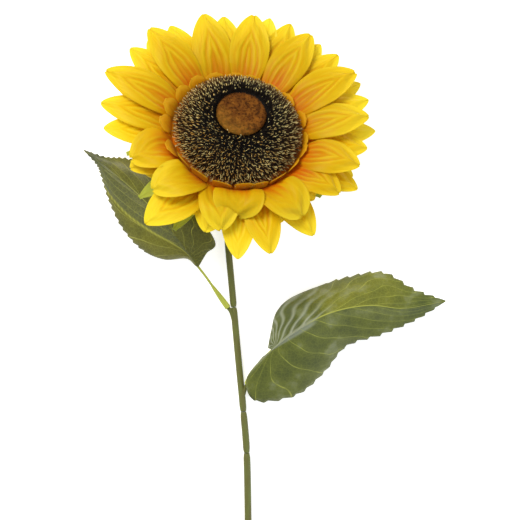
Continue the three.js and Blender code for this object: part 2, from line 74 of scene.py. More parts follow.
# %% [markdown]
# ## From the drawing to the table
#
# The flower was drawn in millimetres, with the origin on the table under the middle of the disc. The CAD
# model has its origin in the middle of the whole flower instead, so one fixed shift joins the two. The
# head has a drawing of its own, in which Z is the disc's axis. It leans back by 30 degrees, because a
# heavy head that lies on a table rests on its rim and its stem.
#
# Keeping the drawing's numbers means that a petal here and its CAD solid come from the same values.

# %% Put drawn points in their place
MM = 0.001
DRAWING_SHIFT = np.array([-22.936, 187.502, -0.160])
HEAD_HEIGHT = 48
HEAD_TILT = math.radians(30)
HEAD_LEAN = math.radians(75.5)

head_axis = Vector(
    (
        math.cos(HEAD_LEAN) * math.sin(HEAD_TILT),
        math.sin(HEAD_LEAN) * math.sin(HEAD_TILT),
        math.cos(HEAD_TILT),
    )
)
head_turn = np.array(Vector((0, 0, 1)).rotation_difference(head_axis).to_matrix())


def on_table(points):
    """Points of the flower's drawing, in millimetres, as metres in the CAD model's frame."""
    return (np.asarray(points, float) + DRAWING_SHIFT) * MM


def on_head(points):
    """Points of the head's own drawing as metres in the CAD model's frame."""
    return on_table(np.asarray(points, float) @ head_turn.T + [0, 0, HEAD_HEIGHT])


print("The head faces", [round(x, 3) for x in head_axis])

# %% [markdown]
# ## Camera
#
# A flat lay is photographed from straight above. A long lens from 1.5 m keeps the near petals from
# swelling. The view is 442 mm wide at the table, so the lower part of the stem runs out of the picture.

# %% Look down on the flower
CAMERA_ABOVE = [18.9, -103.4, 1500]
VIEW_WIDTH = 442
SENSOR_WIDTH = 36

camera = bpy.data.objects.new("camera", bpy.data.cameras.new("camera"))
camera.data.sensor_width = SENSOR_WIDTH
camera.data.lens = SENSOR_WIDTH * CAMERA_ABOVE[2] / VIEW_WIDTH
camera.location = on_table(CAMERA_ABOVE)
bpy.context.scene.collection.objects.link(camera)
bpy.context.scene.camera = camera
print("Lens:", round(camera.data.lens, 1), "mm")

# %% [markdown]
# ## Small tools for the steps
#
# Every material and every Geometry Nodes tree is built from the same call: it adds one node, sets its
# options, and feeds its inputs with numbers, colours or other nodes' outputs. Colours are written as the
# sRGB hex values that a colour picker shows, and are turned to the linear values that Blender works in.

# %% Add nodes and colours


def socket_of(sockets, place):
    """The socket with this name or number, out of those that the node's settings leave in use."""
    in_use = [socket for socket in sockets if socket.enabled]
    if isinstance(place, int):
        return in_use[place]
    return next(socket for socket in in_use if socket.name == place)


def hex_colour(code):
    """An sRGB hex colour as linear values."""
    shares = [int(code[k : k + 2], 16) / 255 for k in (1, 3, 5)]
    return [s / 12.92 if s <= 0.04045 else ((s + 0.055) / 1.055) ** 2.4 for s in shares] + [1.0]


def add(tree, kind, inputs=(), output=0, **settings):
    """Adds one node with its settings, feeds its inputs, and gives back one of its outputs."""
    node = tree.nodes.new(kind)
    for name, value in settings.items():
        setattr(node, name, value)
    for place, value in dict(inputs).items():
        socket = socket_of(node.inputs, place)
        if isinstance(value, bpy.types.NodeSocket):
            tree.links.new(value, socket)
        elif isinstance(value, str) and value.startswith("#"):
            socket.default_value = hex_colour(value)
        else:
            socket.default_value = value
    return socket_of(node.outputs, output) if node.outputs else node


def new_material(name):
    """An empty material and its node tree."""
    material = bpy.data.materials.new(name)
    material.use_nodes = True
    material.node_tree.nodes.clear()
    return material, material.node_tree


def finish_material(tree, shader):
    """Joins the last shader to the material's output."""
    add(tree, "ShaderNodeOutputMaterial", {"Surface": shader})


print("Linear value of #808080:", round(hex_colour("#808080")[0], 3))

# %% [markdown]
# A piece is either a set of grids of points, one grid for each petal or leaf, or a profile turned about
# the head's axis. Each point also carries named numbers, such as how far along its petal it lies. The
# materials read them, so that a vein or a stain follows the cloth however it bends.

# %% Make meshes from grids of points


def grid_faces(rows, columns, start=0, closed=False):
    """Four-sided faces of a grid of points. A closed grid joins its last column to its first."""
    numbers = start + np.arange(rows * columns).reshape(rows, columns)
    if closed:
        numbers = np.concatenate([numbers, numbers[:, :1]], axis=1)
    corners = [numbers[:-1, :-1], numbers[1:, :-1], numbers[1:, 1:], numbers[:-1, 1:]]
    return np.stack(corners, axis=-1).reshape(-1, 4).tolist()


def new_piece(name, points, faces, marks=()):
    """An object in the scene with these points in metres, and named numbers at its points."""
    mesh = bpy.data.meshes.new(name)
    mesh.from_pydata(np.asarray(points).tolist(), [], faces)
    for mark, values in dict(marks).items():
        attribute = mesh.attributes.new(mark, "FLOAT", "POINT")
        attribute.data.foreach_set("value", np.asarray(values, np.float32).ravel())
    mesh.shade_smooth()
    piece = bpy.data.objects.new(name, mesh)
    bpy.context.scene.collection.objects.link(piece)
    return piece


def piece_from_grids(name, grids, marks):
    """One object from several grids. Each mark is a list with one array of numbers for each grid."""
    faces = []
    start = 0
    for grid in grids:
        rows, columns = grid.shape[:2]
        faces += grid_faces(rows, columns, start)
        start += rows * columns
    points = np.concatenate([grid.reshape(-1, 3) for grid in grids])
    joined = {mark: np.concatenate([values.ravel() for values in marks[mark]]) for mark in marks}
    return new_piece(name, points, faces, joined)


# %% [markdown]
# Modifiers and node trees are only recipes. Before a piece is handed to the frame, `bake` turns its
# result into a plain mesh. `settle` then hands it over: it rides on the flower's one body and hides the
# CAD nodes that it stands for. It prints how far the piece reaches outside its nodes, which should stay
# within a few millimetres.

# %% Bake a piece and hand it over


def bake(piece):
    """Leaves the piece with the plain mesh that its modifiers make."""
    seen = bpy.context.evaluated_depsgraph_get()
    mesh = bpy.data.meshes.new_from_object(
        piece.evaluated_get(seen), preserve_all_data_layers=True, depsgraph=seen
    )
    piece.modifiers.clear()
    piece.data = mesh


def corners(points):
    """Lowest and highest corner of some points."""
    points = np.array([tuple(point) for point in points])
    return points.min(axis=0), points.max(axis=0)


def settle(piece, slot, *nodes):
    """Hands a piece to the frame in place of its CAD nodes, and prints how far it leaves their box."""
    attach(piece, "root")
    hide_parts(*nodes)
    low, high = corners(vertex.co for vertex in piece.data.vertices)
    node_low, node_high = corners(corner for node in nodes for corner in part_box(node))
    outside = max((node_low - low).max(), (high - node_high).max()) / MM
    lowest = low[2] / MM
    count = sum(len(face.vertices) - 2 for face in piece.data.polygons)
    print(f"{piece.name}: {count} triangles, {outside:.1f} mm outside its nodes, lowest {lowest:.2f} mm")


# %% [markdown]
# A Geometry Nodes tree gets its sizes as named inputs, so the same tree can press a petal or a sepal. An
# input is set on the modifier by its identifier, before the piece is first evaluated, because the name is
# only a label.

# %% Start and run Geometry Nodes trees


def geometry_tree(name, sizes):
    """An empty tree and its inputs, each given by a name, a kind of socket and a start value."""
    tree = bpy.data.node_groups.new(name, "GeometryNodeTree")
    tree.interface.new_socket("Geometry", in_out="INPUT", socket_type="NodeSocketGeometry")
    for label, (kind, value) in sizes.items():
        socket = tree.interface.new_socket(label, in_out="INPUT", socket_type=kind)
        if value is not None:
            socket.default_value = value
    tree.interface.new_socket("Geometry", in_out="OUTPUT", socket_type="NodeSocketGeometry")
    return tree, tree.nodes.new("NodeGroupInput").outputs


def finish_tree(tree, geometry, material):
    """Ends a tree with plain smooth geometry in its material."""
    plain = add(tree, "GeometryNodeRealizeInstances", {"Geometry": geometry})
    smooth = add(tree, "GeometryNodeSetShadeSmooth", {"Geometry": plain})
    coloured = add(tree, "GeometryNodeSetMaterial", {"Geometry": smooth, "Material": material})
    add(tree, "NodeGroupOutput", {0: coloured})


def run_tree(piece, tree, values):
    """Puts a tree on a piece as a modifier, with these values for its named inputs."""
    modifier = piece.modifiers.new(tree.name, "NODES")
    modifier.node_group = tree
    for item in tree.interface.items_tree:
        if item.in_out == "INPUT" and item.name in values:
            modifier[item.identifier] = values[item.name]


def thicken(piece, thickness, offset=0.0):
    """Gives a sheet the thickness of its cloth or moulded wall, with its edges closed."""
    wall = piece.modifiers.new("Wall", "SOLIDIFY")
    wall.thickness = thickness
    wall.offset = offset


# %% [markdown]
# ## Light table and lamps
#
# The flower was photographed on white with hardly a shadow, as on a light table: a white sheet lit from
# below. The floor is therefore a matt white sheet that also glows a little. Its glow comes through the
# back petals and makes them the brightest yellow, as in the photograph. One broad soft lamp stands at the
# upper left and a weaker one at the right, and a pale sky fills the rest.

# %% Set the table and the light
TABLE_HALF_WIDTH = 4.0
TABLE_GLOW = 0.62
SKY_STRENGTH = 0.55

opal, tree = new_material("Opal acrylic, lit from below")
matt = add(tree, "ShaderNodeBsdfDiffuse", {"Color": "#f4f4f2"})
glow = add(tree, "ShaderNodeEmission", {"Color": "#ffffff", "Strength": TABLE_GLOW})
finish_material(tree, add(tree, "ShaderNodeAddShader", {0: matt, 1: glow}))

signs = ((-1, -1), (1, -1), (1, 1), (-1, 1))
table_corners = [[TABLE_HALF_WIDTH * x, TABLE_HALF_WIDTH * y, 0] for x, y in signs]
table = new_piece("light_table", table_corners, [(0, 1, 2, 3)])
table.data.materials.append(opal)
table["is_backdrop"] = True

world = bpy.data.worlds.new("Pale studio")
world.use_nodes = True
world.node_tree.nodes["Background"].inputs["Color"].default_value = hex_colour("#f3f6ff")
world.node_tree.nodes["Background"].inputs["Strength"].default_value = SKY_STRENGTH
bpy.context.scene.world = world


def soft_lamp(name, place, size, watts, colour):
    """A square area lamp at a place in the CAD model's frame, in metres, that faces the head."""
    lamp = bpy.data.lights.new(name, "AREA")
    lamp.size = size
    lamp.energy = watts
    lamp.color = hex_colour(colour)[:3]
    stand = bpy.data.objects.new(name, lamp)
    stand.location = Vector(place)
    aim = Vector(on_head([0, 0, 20])) - stand.location
    stand.rotation_euler = aim.to_track_quat("-Z", "Y").to_euler()
    bpy.context.scene.collection.objects.link(stand)


soft_lamp("key_lamp", (-0.6, 0.95, 1.3), 0.8, 24, "#fff8ec")
soft_lamp("fill_lamp", (1.2, -0.5, 1.2), 1.2, 9, "#eef3ff")
bpy.context.scene.view_settings.view_transform = "Standard"

# %% [markdown]
# ## Petal cloth
#
# Petals of such flowers are polyester satin. The cloth is airbrushed orange at the root, golden in the
# middle and lemon at the tip. The dye gathers in the pressed grooves, which are also painted darker as
# shade, and the crests of the ribs are painted lighter as a highlight.
#
# The weave of satin is about 0.1 mm, too fine to show here. It is drawn at 0.5 mm, just strong enough to
# break up the highlights.

# %% Dye and weave
SATIN_THREAD = 0.5


def dye_along_petal(tree, marks, streaked, root, body, tip):
    """The root's colour gives way to the body's and then to the tip's, first at the petal's edges."""
    streaks = add(tree, "ShaderNodeTexNoise", {"Vector": streaked, "Scale": 1.0, "Detail": 4.0})
    dyed = add(tree, "ShaderNodeMath", {0: streaks, 1: 0.6, 2: marks["along"]}, operation="MULTIPLY_ADD")
    aside = {0: marks["across"], 1: marks["across"]}
    from_middle = add(tree, "ShaderNodeMath", aside, operation="MULTIPLY")
    spared = add(tree, "ShaderNodeMath", {0: from_middle, 1: 0.22, 2: dyed}, operation="MULTIPLY_ADD")
    own = {0: marks["tone"], 1: 0.14, 2: spared}
    shifted = add(tree, "ShaderNodeMath", own, operation="MULTIPLY_ADD")
    past_root = add(
        tree,
        "ShaderNodeMapRange",
        {"Value": shifted, "From Min": 0.32, "From Max": 0.9},
        interpolation_type="SMOOTHSTEP",
    )
    past_body = add(
        tree,
        "ShaderNodeMapRange",
        {"Value": shifted, "From Min": 0.85, "From Max": 1.45},
        interpolation_type="SMOOTHSTEP",
    )
    lower = add(tree, "ShaderNodeMix", {"Factor": past_root, "A": root, "B": body}, data_type="RGBA")
    return add(tree, "ShaderNodeMix", {"Factor": past_body, "A": lower, "B": tip}, data_type="RGBA")


def crest_highlight_groove_dye_and_shade(tree, rib, dye, root, tip):
    """A painted highlight of the tip's colour on the ribs, and the root's colour in the grooves, partly
    dye and partly painted shade.
    """
    high = {"Value": rib, "From Min": 0.1, "From Max": 1.0, "To Max": 0.4}
    low = {"Value": rib, "From Min": -0.2, "From Max": -1.0, "To Max": 0.3}
    crest = add(tree, "ShaderNodeMapRange", high)
    groove = add(tree, "ShaderNodeMapRange", low)
    lighter = add(tree, "ShaderNodeMix", {"Factor": crest, "A": dye, "B": tip}, data_type="RGBA")
    return add(tree, "ShaderNodeMix", {"Factor": groove, "A": lighter, "B": root}, data_type="RGBA")


def woven_relief(tree, streaked):
    """The weave, and over it a slight crumple of the pressed cloth."""
    place = add(tree, "ShaderNodeTexCoord", output="Object")
    threads = {"Vector": place, "Scale": 1 / (SATIN_THREAD * MM), "Detail": 2.0}
    weave = add(tree, "ShaderNodeTexNoise", threads)
    thread = add(tree, "ShaderNodeBump", {"Strength": 0.25, "Distance": 0.1 * MM, "Height": weave})
    crumple = add(tree, "ShaderNodeTexNoise", {"Vector": streaked, "Scale": 2.2, "Detail": 3.0})
    folds = {"Strength": 0.5, "Distance": 0.6 * MM, "Height": crumple, "Normal": thread}
    return add(tree, "ShaderNodeBump", folds)


print("Threads of the satin are drawn", SATIN_THREAD, "mm wide")

# %% [markdown]
# Satin has a soft sheen and no sharp highlight, and the thin cloth lets light through, which a
# translucent shader mixed into the surface gives.
#
# Streaks of dye run along a petal: fine across it, long along it, and different on each petal. The noise
# that draws them is therefore laid out by the petal's own numbers, not by its place.

# %% Dyed satin
PETAL_TRANSLUCENCY = 0.42
STREAKS_OF_DYE = (5.5, 1.3, 9)


def satin(name, root, body, tip):
    """Dyed satin, coloured by how far along its petal a point lies, with a painted highlight on its rib
    crests and dye and painted shade in its grooves.
    """
    material, tree = new_material(name)
    marks = {
        mark: add(tree, "ShaderNodeAttribute", output="Fac", attribute_name=mark)
        for mark in ("along", "across", "tone", "rib")
    }
    on_petal = {0: marks["across"], 1: marks["along"], 2: marks["tone"]}
    cloth = add(tree, "ShaderNodeCombineXYZ", on_petal)
    streaked = add(tree, "ShaderNodeVectorMath", {0: cloth, 1: STREAKS_OF_DYE}, operation="MULTIPLY")
    dye = dye_along_petal(tree, marks, streaked, root, body, tip)
    # Rib crests get a painted highlight, and grooves the root's colour, partly dye and partly painted
    # shade
    dye_with_painted_rib_light = crest_highlight_groove_dye_and_shade(tree, marks["rib"], dye, root, tip)
    relief = woven_relief(tree, streaked)
    surface = add(
        tree,
        "ShaderNodeBsdfPrincipled",
        {
            "Base Color": dye_with_painted_rib_light,
            "Roughness": 0.42,
            "Specular IOR Level": 0.12,
            "Sheen Weight": 0.02,
            "Normal": relief,
        },
    )
    through = add(tree, "ShaderNodeBsdfTranslucent", {"Color": dye_with_painted_rib_light, "Normal": relief})
    blend = {0: PETAL_TRANSLUCENCY, 1: surface, 2: through}
    finish_material(tree, add(tree, "ShaderNodeMixShader", blend))
    return material


front_satin = satin("Polyester satin, golden dye", "#de7804", "#e3be08", "#f2de2e")
middle_satin = satin("Polyester satin, yellow dye", "#dd8c0a", "#e8c70c", "#f4e436")
back_satin = satin("Polyester satin, lemon dye", "#e2a40a", "#f0d816", "#f9ea44")
tab_satin = satin("Polyester satin, orange dye", "#e5940e", "#e8ac12", "#ebbe20")
print("Petal materials:", [m.name for m in bpy.data.materials if "satin" in m.name])

# %% [markdown]
# ## Shape of a petal
#
# A petal blank is cut wide in the middle and pointed at its tip. It leaves the rim of its hub at an angle
# and bends evenly along its length, so its side view is an arc of a circle. Its edges are cupped, and it
# may swing aside or roll a little. One formula with a few measured values for each petal gives all of
# this, and it is the formula behind the CAD solid, evaluated on a much finer grid.
#
# The petals of a ring are all bent differently, so one bent petal can't simply be copied round the head.
# A short loop makes one grid for each petal, and Geometry Nodes then press the ribs into all of them at
# once.

# %% Bend a petal
PETAL_ROWS = 50
PETAL_COLUMNS = 45
HIDDEN_ROOT = -0.06
POINTED_TIP = 0.66
ROUND_TIP = 0.42
ROLL_STARTS_AT = 50
ROLL_ENDS_AT = 90


def wobble(number):
    """A repeatable value between -1 and 1 for the item with this number."""
    share = math.sin(number * 127.1) * 43758.5453
    return 2 * (share - math.floor(share)) - 1


def rolled_share(curl):
    """0 for a petal that is hardly curled, and 1 for one that is rolled up."""
    return min(1, max(0, (abs(curl) - ROLL_STARTS_AT) / (ROLL_ENDS_AT - ROLL_STARTS_AT)))


def tip_exponent(curl):
    """How blunt a petal ends. A rolled petal has its point rolled in, so it ends round."""
    return POINTED_TIP - (POINTED_TIP - ROUND_TIP) * rolled_share(curl)


def petal_outline(u, layer, curl):
    """Half the petal's width at a share u of its length, as a share of its greatest half width."""
    root, widest = layer["root_share"], layer["widest_at"]
    growing = root + (1 - root) * np.sin(np.pi / 2 * np.clip(u / widest, 0, 1))
    past = np.clip((u - widest) / (1 - widest), 0, 1)
    shrinking = np.maximum(layer["tip_share"], np.abs(np.cos(np.pi / 2 * past)) ** tip_exponent(curl))
    return np.where(u < widest, growing, shrinking)


def petal_points(petal, layer, u, v):
    """A petal in the head's drawing. u runs from root to tip and v from edge to edge, -1 to 1."""
    arc = np.maximum(u, 0)
    lift = math.radians(petal["lift"])
    curl = math.radians(petal["curl"] or 0.001)
    azimuth = math.radians(petal["azimuth"])
    turn = math.radians(petal["turn"])
    angle = np.where(u > 0, lift + curl * arc, 0)
    reach = np.where(u > 0, (np.sin(angle) - math.sin(lift)) / curl, u)
    rise = np.where(u > 0, (math.cos(lift) - np.cos(angle)) / curl, 0)
    half_width = petal["half_width"] * petal_outline(u, layer, petal["curl"])
    fold = petal["cup"] * half_width * v**2 * np.minimum(1, 4 * arc)
    roll = petal["twist"] * arc
    across = half_width * v * np.cos(roll) - fold * np.sin(roll)
    above = fold * np.cos(roll) + half_width * v * np.sin(roll)
    forward = petal["length"] * reach - above * np.sin(angle)
    facing = azimuth + turn * np.minimum(1, 3 * arc)
    root = layer["root_radius"]
    x = root * math.cos(azimuth) + forward * math.cos(azimuth + turn) - across * np.sin(facing)
    y = root * math.sin(azimuth) + forward * math.sin(azimuth + turn) + across * np.cos(facing)
    z = layer["depth"] + petal["length"] * rise + above * np.cos(angle)
    return np.stack([x, y, z], axis=-1)


def petal_grid(rows, columns):
    """The shares u and v of a petal's points, from just inside the hub's rim to the tip."""
    u = np.concatenate([[HIDDEN_ROOT], np.linspace(0.0, 1.0, rows - 1)])
    return np.meshgrid(u, np.linspace(-1.0, 1.0, columns), indexing="ij")


print("Points in a petal:", PETAL_ROWS * PETAL_COLUMNS)

# %% [markdown]
# ## Pressed ribs
#
# The hot mould leaves ribs like nested arches: they start side by side at the root, run along with the
# petal's edges and meet on its middle line, the inner ones first. Outside them a ridge follows the whole
# edge, and the margin beyond it is rolled back.
#
# One number gives all of this. `arch` is 0 on the middle line at the root and grows towards the edges and
# the tip. The ribs are a wave of it, and the margin starts where it passes a limit. The tree moves each
# point along its normal, adds a slow uneven ripple, and keeps the wave as `rib`, so that the material can
# paint the grooves darker, partly as dye and partly as shade, and the crests lighter as a highlight.

# %% Build the pressing tree
ARCH_MEETS_AT = 0.95
ARCH_STEEPNESS = 3.0
ARCH_UNEVENNESS = 0.22
MARGIN_FROM = 0.74
RIBS_FADE_OVER = 0.2
MARGIN_GROWS_OVER = 0.5

press, size = geometry_tree(
    "Pressed ribs",
    {
        "Rib height": ("NodeSocketFloat", 0.3 * MM),
        "Ribs": ("NodeSocketFloat", 3.0),
        "Margin drop": ("NodeSocketFloat", 2.0 * MM),
        "Ripple": ("NodeSocketFloat", 1.2 * MM),
        "Ripple length": ("NodeSocketFloat", 18 * MM),
        "Cloth": ("NodeSocketMaterial", None),
    },
)
along, across, depth = (
    add(press, "GeometryNodeInputNamedAttribute", {"Name": mark}, data_type="FLOAT")
    for mark in ("along", "across", "depth")
)
place = add(press, "GeometryNodeInputPosition")
# The arches
forward = add(press, "ShaderNodeMath", {0: along, 1: ARCH_MEETS_AT}, operation="DIVIDE", use_clamp=True)
bent = add(press, "ShaderNodeMath", {0: forward, 1: ARCH_STEEPNESS}, operation="POWER")
aside = add(press, "ShaderNodeMath", {0: across}, operation="ABSOLUTE")
even_arch = add(press, "ShaderNodeMath", {0: bent, 1: aside}, operation="ADD")
frequency = add(press, "ShaderNodeMath", {0: 1.0, 1: size["Ripple length"]}, operation="DIVIDE")
noise = add(press, "ShaderNodeTexNoise", {"Vector": place, "Scale": frequency, "Detail": 1.0})
uneven = add(press, "ShaderNodeMath", {0: noise, 1: 0.5}, operation="SUBTRACT")
bending = {0: uneven, 1: ARCH_UNEVENNESS, 2: even_arch}
arch = add(press, "ShaderNodeMath", bending, operation="MULTIPLY_ADD")
# Ribs inside the margin, which fade out at the root and at the tip
turns = add(press, "ShaderNodeMath", {0: arch, 1: size["Ribs"]}, operation="MULTIPLY")
phase = add(press, "ShaderNodeMath", {0: turns, 1: 2 * math.pi}, operation="MULTIPLY")
wave = add(press, "ShaderNodeMath", {0: phase}, operation="COSINE")
way = add(press, "ShaderNodeMath", {0: along, 1: math.pi}, operation="MULTIPLY")
swell = add(press, "ShaderNodeMath", {0: way}, operation="SINE", use_clamp=True)
inside = add(
    press,
    "ShaderNodeMapRange",
    {"Value": arch, "From Min": MARGIN_FROM + RIBS_FADE_OVER, "From Max": MARGIN_FROM},
)
pressed_wave = add(press, "ShaderNodeMath", {0: wave, 1: inside}, operation="MULTIPLY")
full_rib = add(press, "ShaderNodeMath", {0: pressed_wave, 1: swell}, operation="MULTIPLY")
rib = add(press, "ShaderNodeMath", {0: full_rib, 1: depth}, operation="MULTIPLY")
rib_rise = add(press, "ShaderNodeMath", {0: rib, 1: size["Rib height"]}, operation="MULTIPLY")
# The margin
outside = add(
    press,
    "ShaderNodeMapRange",
    {"Value": arch, "From Min": MARGIN_FROM, "From Max": MARGIN_FROM + MARGIN_GROWS_OVER},
    interpolation_type="SMOOTHSTEP",
)
from_root = add(press, "ShaderNodeMath", {0: along, 1: 5.0}, operation="MULTIPLY", use_clamp=True)
margin = add(press, "ShaderNodeMath", {0: outside, 1: from_root}, operation="MULTIPLY")
margin_drop = add(press, "ShaderNodeMath", {0: margin, 1: size["Margin drop"]}, operation="MULTIPLY")
# All together
faded = add(press, "ShaderNodeMath", {0: uneven, 1: swell}, operation="MULTIPLY")
rise = add(press, "ShaderNodeMath", {0: faded, 1: size["Ripple"], 2: rib_rise}, operation="MULTIPLY_ADD")
height = add(press, "ShaderNodeMath", {0: rise, 1: margin_drop}, operation="SUBTRACT")
normal = add(press, "GeometryNodeInputNormal")
offset = add(press, "ShaderNodeVectorMath", {0: normal, "Scale": height}, operation="SCALE")
kept = add(
    press,
    "GeometryNodeStoreNamedAttribute",
    {"Geometry": size["Geometry"], "Name": "rib", "Value": rib},
    data_type="FLOAT",
    domain="POINT",
)
pressed = add(press, "GeometryNodeSetPosition", {"Geometry": kept, "Offset": offset})
finish_tree(press, pressed, size["Cloth"])
print("Nodes in the pressing tree:", len(press.nodes))

# %% [markdown]
# ## Three rings of petals
#
# Each ring is one washer of cloth with fourteen petals, and the rings are threaded on one pin, 2 mm
# apart. The front petals below the disc are rolled up and over, which makes the round cushions under it.
# The back ring is nearly flat and its upper petals all but touch the table. Each row below gives a
# petal's azimuth, length, lift, curl and swing, and its breadth where it is wider than the others.
# `pressed` says how deep the mould is.

# %% Measured petals
FRONT_LAYER = {
    "name": "petal_layer_front",
    "depth": -2.6,
    "root_radius": 53,
    "root_share": 0.62,
    "widest_at": 0.45,
    "tip_share": 0.03,
    "half_width": 15.5,
    "cup": 0.19,
    "pressed": {"Rib height": 0.32, "Margin drop": 3.2, "Ripple": 2.6},
    "petals": [
        [9, 61, 40, -42, -3],
        [31, 66, 37, -38, -2],
        [57, 64, 31, -26, -2],
        [81, 62, 28, -18, 2],
        [105, 63, 28, -18, -2],
        [127, 68, 28, -24, 2],
        [154, 69, 27, -28, 2],
        [197, 41, 42, -74, 0, 1.15],
        [233, 46, 52, -86, -32, 1.05],
        [249, 43, 34, -68, 28],
        [269, 34, 76, -152, 0, 1.3],
        [295, 46, 54, -92, 20, 1.2],
        [324, 50, 42, -58, 3],
        [341, 56, 46, -52, 0],
    ],
}
MIDDLE_LAYER = {
    "name": "petal_layer_middle",
    "depth": -4.7,
    "root_radius": 51.5,
    "root_share": 0.64,
    "widest_at": 0.45,
    "tip_share": 0.03,
    "half_width": 14.5,
    "cup": 0.1,
    "pressed": {"Rib height": 0.28, "Margin drop": 2.4, "Ripple": 1.8},
    "petals": [
        [18, 67, 22, -22, 0],
        [42, 67, 20, -12, 0],
        [66, 67, 19, -6, 0],
        [95, 62, 20, -7, 0],
        [119, 64, 19, -8, 0],
        [139, 67, 19, -15, 0],
        [168, 64, 18, -20, 0],
        [200, 42, 12, -28, 0],
        [239, 63, 8, -18, -20, 1.2],
        [253, 40, 2, -24, 0],
        [284, 57, 4, -20, 0],
        [305, 56, 6, -20, 0],
        [335, 58, 14, -22, 0],
        [355, 58, 20, -23, 0],
    ],
}
BACK_LAYER = {
    "name": "petal_layer_back",
    "depth": -6.8,
    "root_radius": 49.5,
    "root_share": 0.64,
    "widest_at": 0.48,
    "tip_share": 0.03,
    "half_width": 14,
    "cup": 0.06,
    "pressed": {"Rib height": 0.2, "Margin drop": 0.9, "Ripple": 0.6},
    "petals": [
        [5, 68, 9, -8, 0],
        [27, 70, 12, -5, 0],
        [51, 68, 12.5, -1, 0],
        [75, 68, 17, 0, 0],
        [104, 66, 10.4, -1, 0],
        [130, 66, 11, -3, 0],
        [153, 66, 8, -6, 0],
        [178, 60, 7, -8, 0],
        [205, 34, 1, -10, 0],
        [238, 34, -5, -10, 0],
        [270, 59, -4, -14, 0],
        [296, 34, -5, -12, 0],
        [320, 34, 0, -12, 0],
        [342, 52, 5, -10, 0],
    ],
}
print("Petals:", sum(len(layer["petals"]) for layer in (FRONT_LAYER, MIDDLE_LAYER, BACK_LAYER)))

# %% [markdown]
# The cloth is 0.35 mm thick, which gives the cut edges their thin line. The washer in the middle of each
# ring is a flat ring of the same cloth. It shows only from behind, between the calyx and the petals.

# %% Make the rings of petals
SATIN_THICKNESS = 0.35 * MM
WASHER_BORE = 3.35
WASHER_SIDES = 72


def read_petal(row, number, layer):
    """A petal's measured row as named values, with the small differences that every petal has."""
    azimuth, length, lift, curl, turn, *rest = row
    breadth = rest[0] if rest else 1
    return {
        "azimuth": azimuth,
        "length": length,
        "lift": lift,
        "curl": curl,
        "turn": turn,
        "half_width": breadth * layer["half_width"] * (1 + 0.05 * wobble(number + 11)),
        "cup": layer["cup"] * (1 + 0.5 * wobble(number + 23)),
        "twist": 0.1 * wobble(number + 31),
    }


def washer_grid(layer):
    """The flat ring of cloth that joins a layer's petals."""
    turn = np.linspace(0, 2 * np.pi, WASHER_SIDES + 1)
    radius = np.array([WASHER_BORE, layer["root_radius"] + 0.3])
    radius, turn = np.meshgrid(radius, turn, indexing="ij")
    height = np.full_like(turn, layer["depth"])
    return np.stack([radius * np.cos(turn), radius * np.sin(turn), height], axis=-1)


def pressing(layer, cloth):
    """Inputs of the pressing tree for a layer, which keeps them in millimetres."""
    return {"Cloth": cloth, **{label: height * MM for label, height in layer["pressed"].items()}}


def petal_ring(layer, cloth):
    """A ring of pressed petals with its washer, as one piece of cloth."""
    u, v = petal_grid(PETAL_ROWS, PETAL_COLUMNS)
    petals = [read_petal(row, number, layer) for number, row in enumerate(layer["petals"])]
    grids = [petal_points(petal, layer, u, v) for petal in petals] + [washer_grid(layer)]
    still = np.zeros(grids[-1].shape[:2])
    marks = {
        "along": [u for _ in petals] + [still],
        "across": [v for _ in petals] + [still],
        "tone": [np.full_like(u, wobble(number + 57)) for number, _ in enumerate(petals)] + [still],
        "depth": [np.full_like(u, 1 - 0.65 * rolled_share(petal["curl"])) for petal in petals] + [still],
    }
    ring = piece_from_grids(layer["name"] + "_satin", [on_head(grid) for grid in grids], marks)
    run_tree(ring, press, pressing(layer, cloth))
    thicken(ring, SATIN_THICKNESS)
    bake(ring)
    return ring


LAYERS = ((FRONT_LAYER, front_satin), (MIDDLE_LAYER, middle_satin), (BACK_LAYER, back_satin))
for layer, cloth in LAYERS:
    settle(petal_ring(layer, cloth), "petal", layer["name"])

# %% [markdown]
# ## Tabs and sepals, copied round the head
#
# Close round the disc stands a ring of twenty short rounded tabs, and behind the petals a ring of lime
# green sepals. Here every piece of a ring has the same bend. It differs from the others only in its
# length and in how far it leans, so one pressed blank is enough. A point for each copy carries its
# azimuth, how far it drops and how far it is stretched, and Geometry Nodes stand the blank on every
# point. A new row is one more point.

# %% Build the ring tree
ring_tree, size = geometry_tree(
    "Blanks round a hub",
    {"Blank": ("NodeSocketObject", None), "Cloth": ("NodeSocketMaterial", None)},
)
azimuth, stretch, drop = (
    add(ring_tree, "GeometryNodeInputNamedAttribute", {"Name": mark}, data_type="FLOAT")
    for mark in ("azimuth", "stretch", "drop")
)
euler = add(ring_tree, "ShaderNodeCombineXYZ", {1: drop, 2: azimuth})
turned = add(ring_tree, "FunctionNodeEulerToRotation", {0: euler})
scale = add(ring_tree, "ShaderNodeCombineXYZ", {0: stretch, 1: 1.0, 2: stretch})
blank = add(ring_tree, "GeometryNodeObjectInfo", {"Object": size["Blank"]}, output="Geometry")
copies = add(
    ring_tree,
    "GeometryNodeInstanceOnPoints",
    {"Points": size["Geometry"], "Instance": blank, "Rotation": turned, "Scale": scale},
)
finish_tree(ring_tree, copies, size["Cloth"])
print("Nodes in the ring tree:", len(ring_tree.nodes))

# %% [markdown]
# The blank lies along +X with its root at the origin. The copies are put on the head only after they have
# been made plain.

# %% Copy a blank round the head
BLANK_RIBS = 2.0


def pressed_blank(name, petal, layer, cloth, rows, columns):
    """One pressed blank in the head's drawing with its root moved to the origin, in metres."""
    u, v = petal_grid(rows, columns)
    root = [layer["root_radius"], 0, layer["depth"]]
    points = (petal_points(petal, layer, u, v) - root) * MM
    blank = piece_from_grids(name, [points], {"along": [u], "across": [v], "depth": [np.ones_like(u)]})
    run_tree(blank, press, {"Ribs": BLANK_RIBS, **pressing(layer, cloth)})
    bake(blank)
    return blank


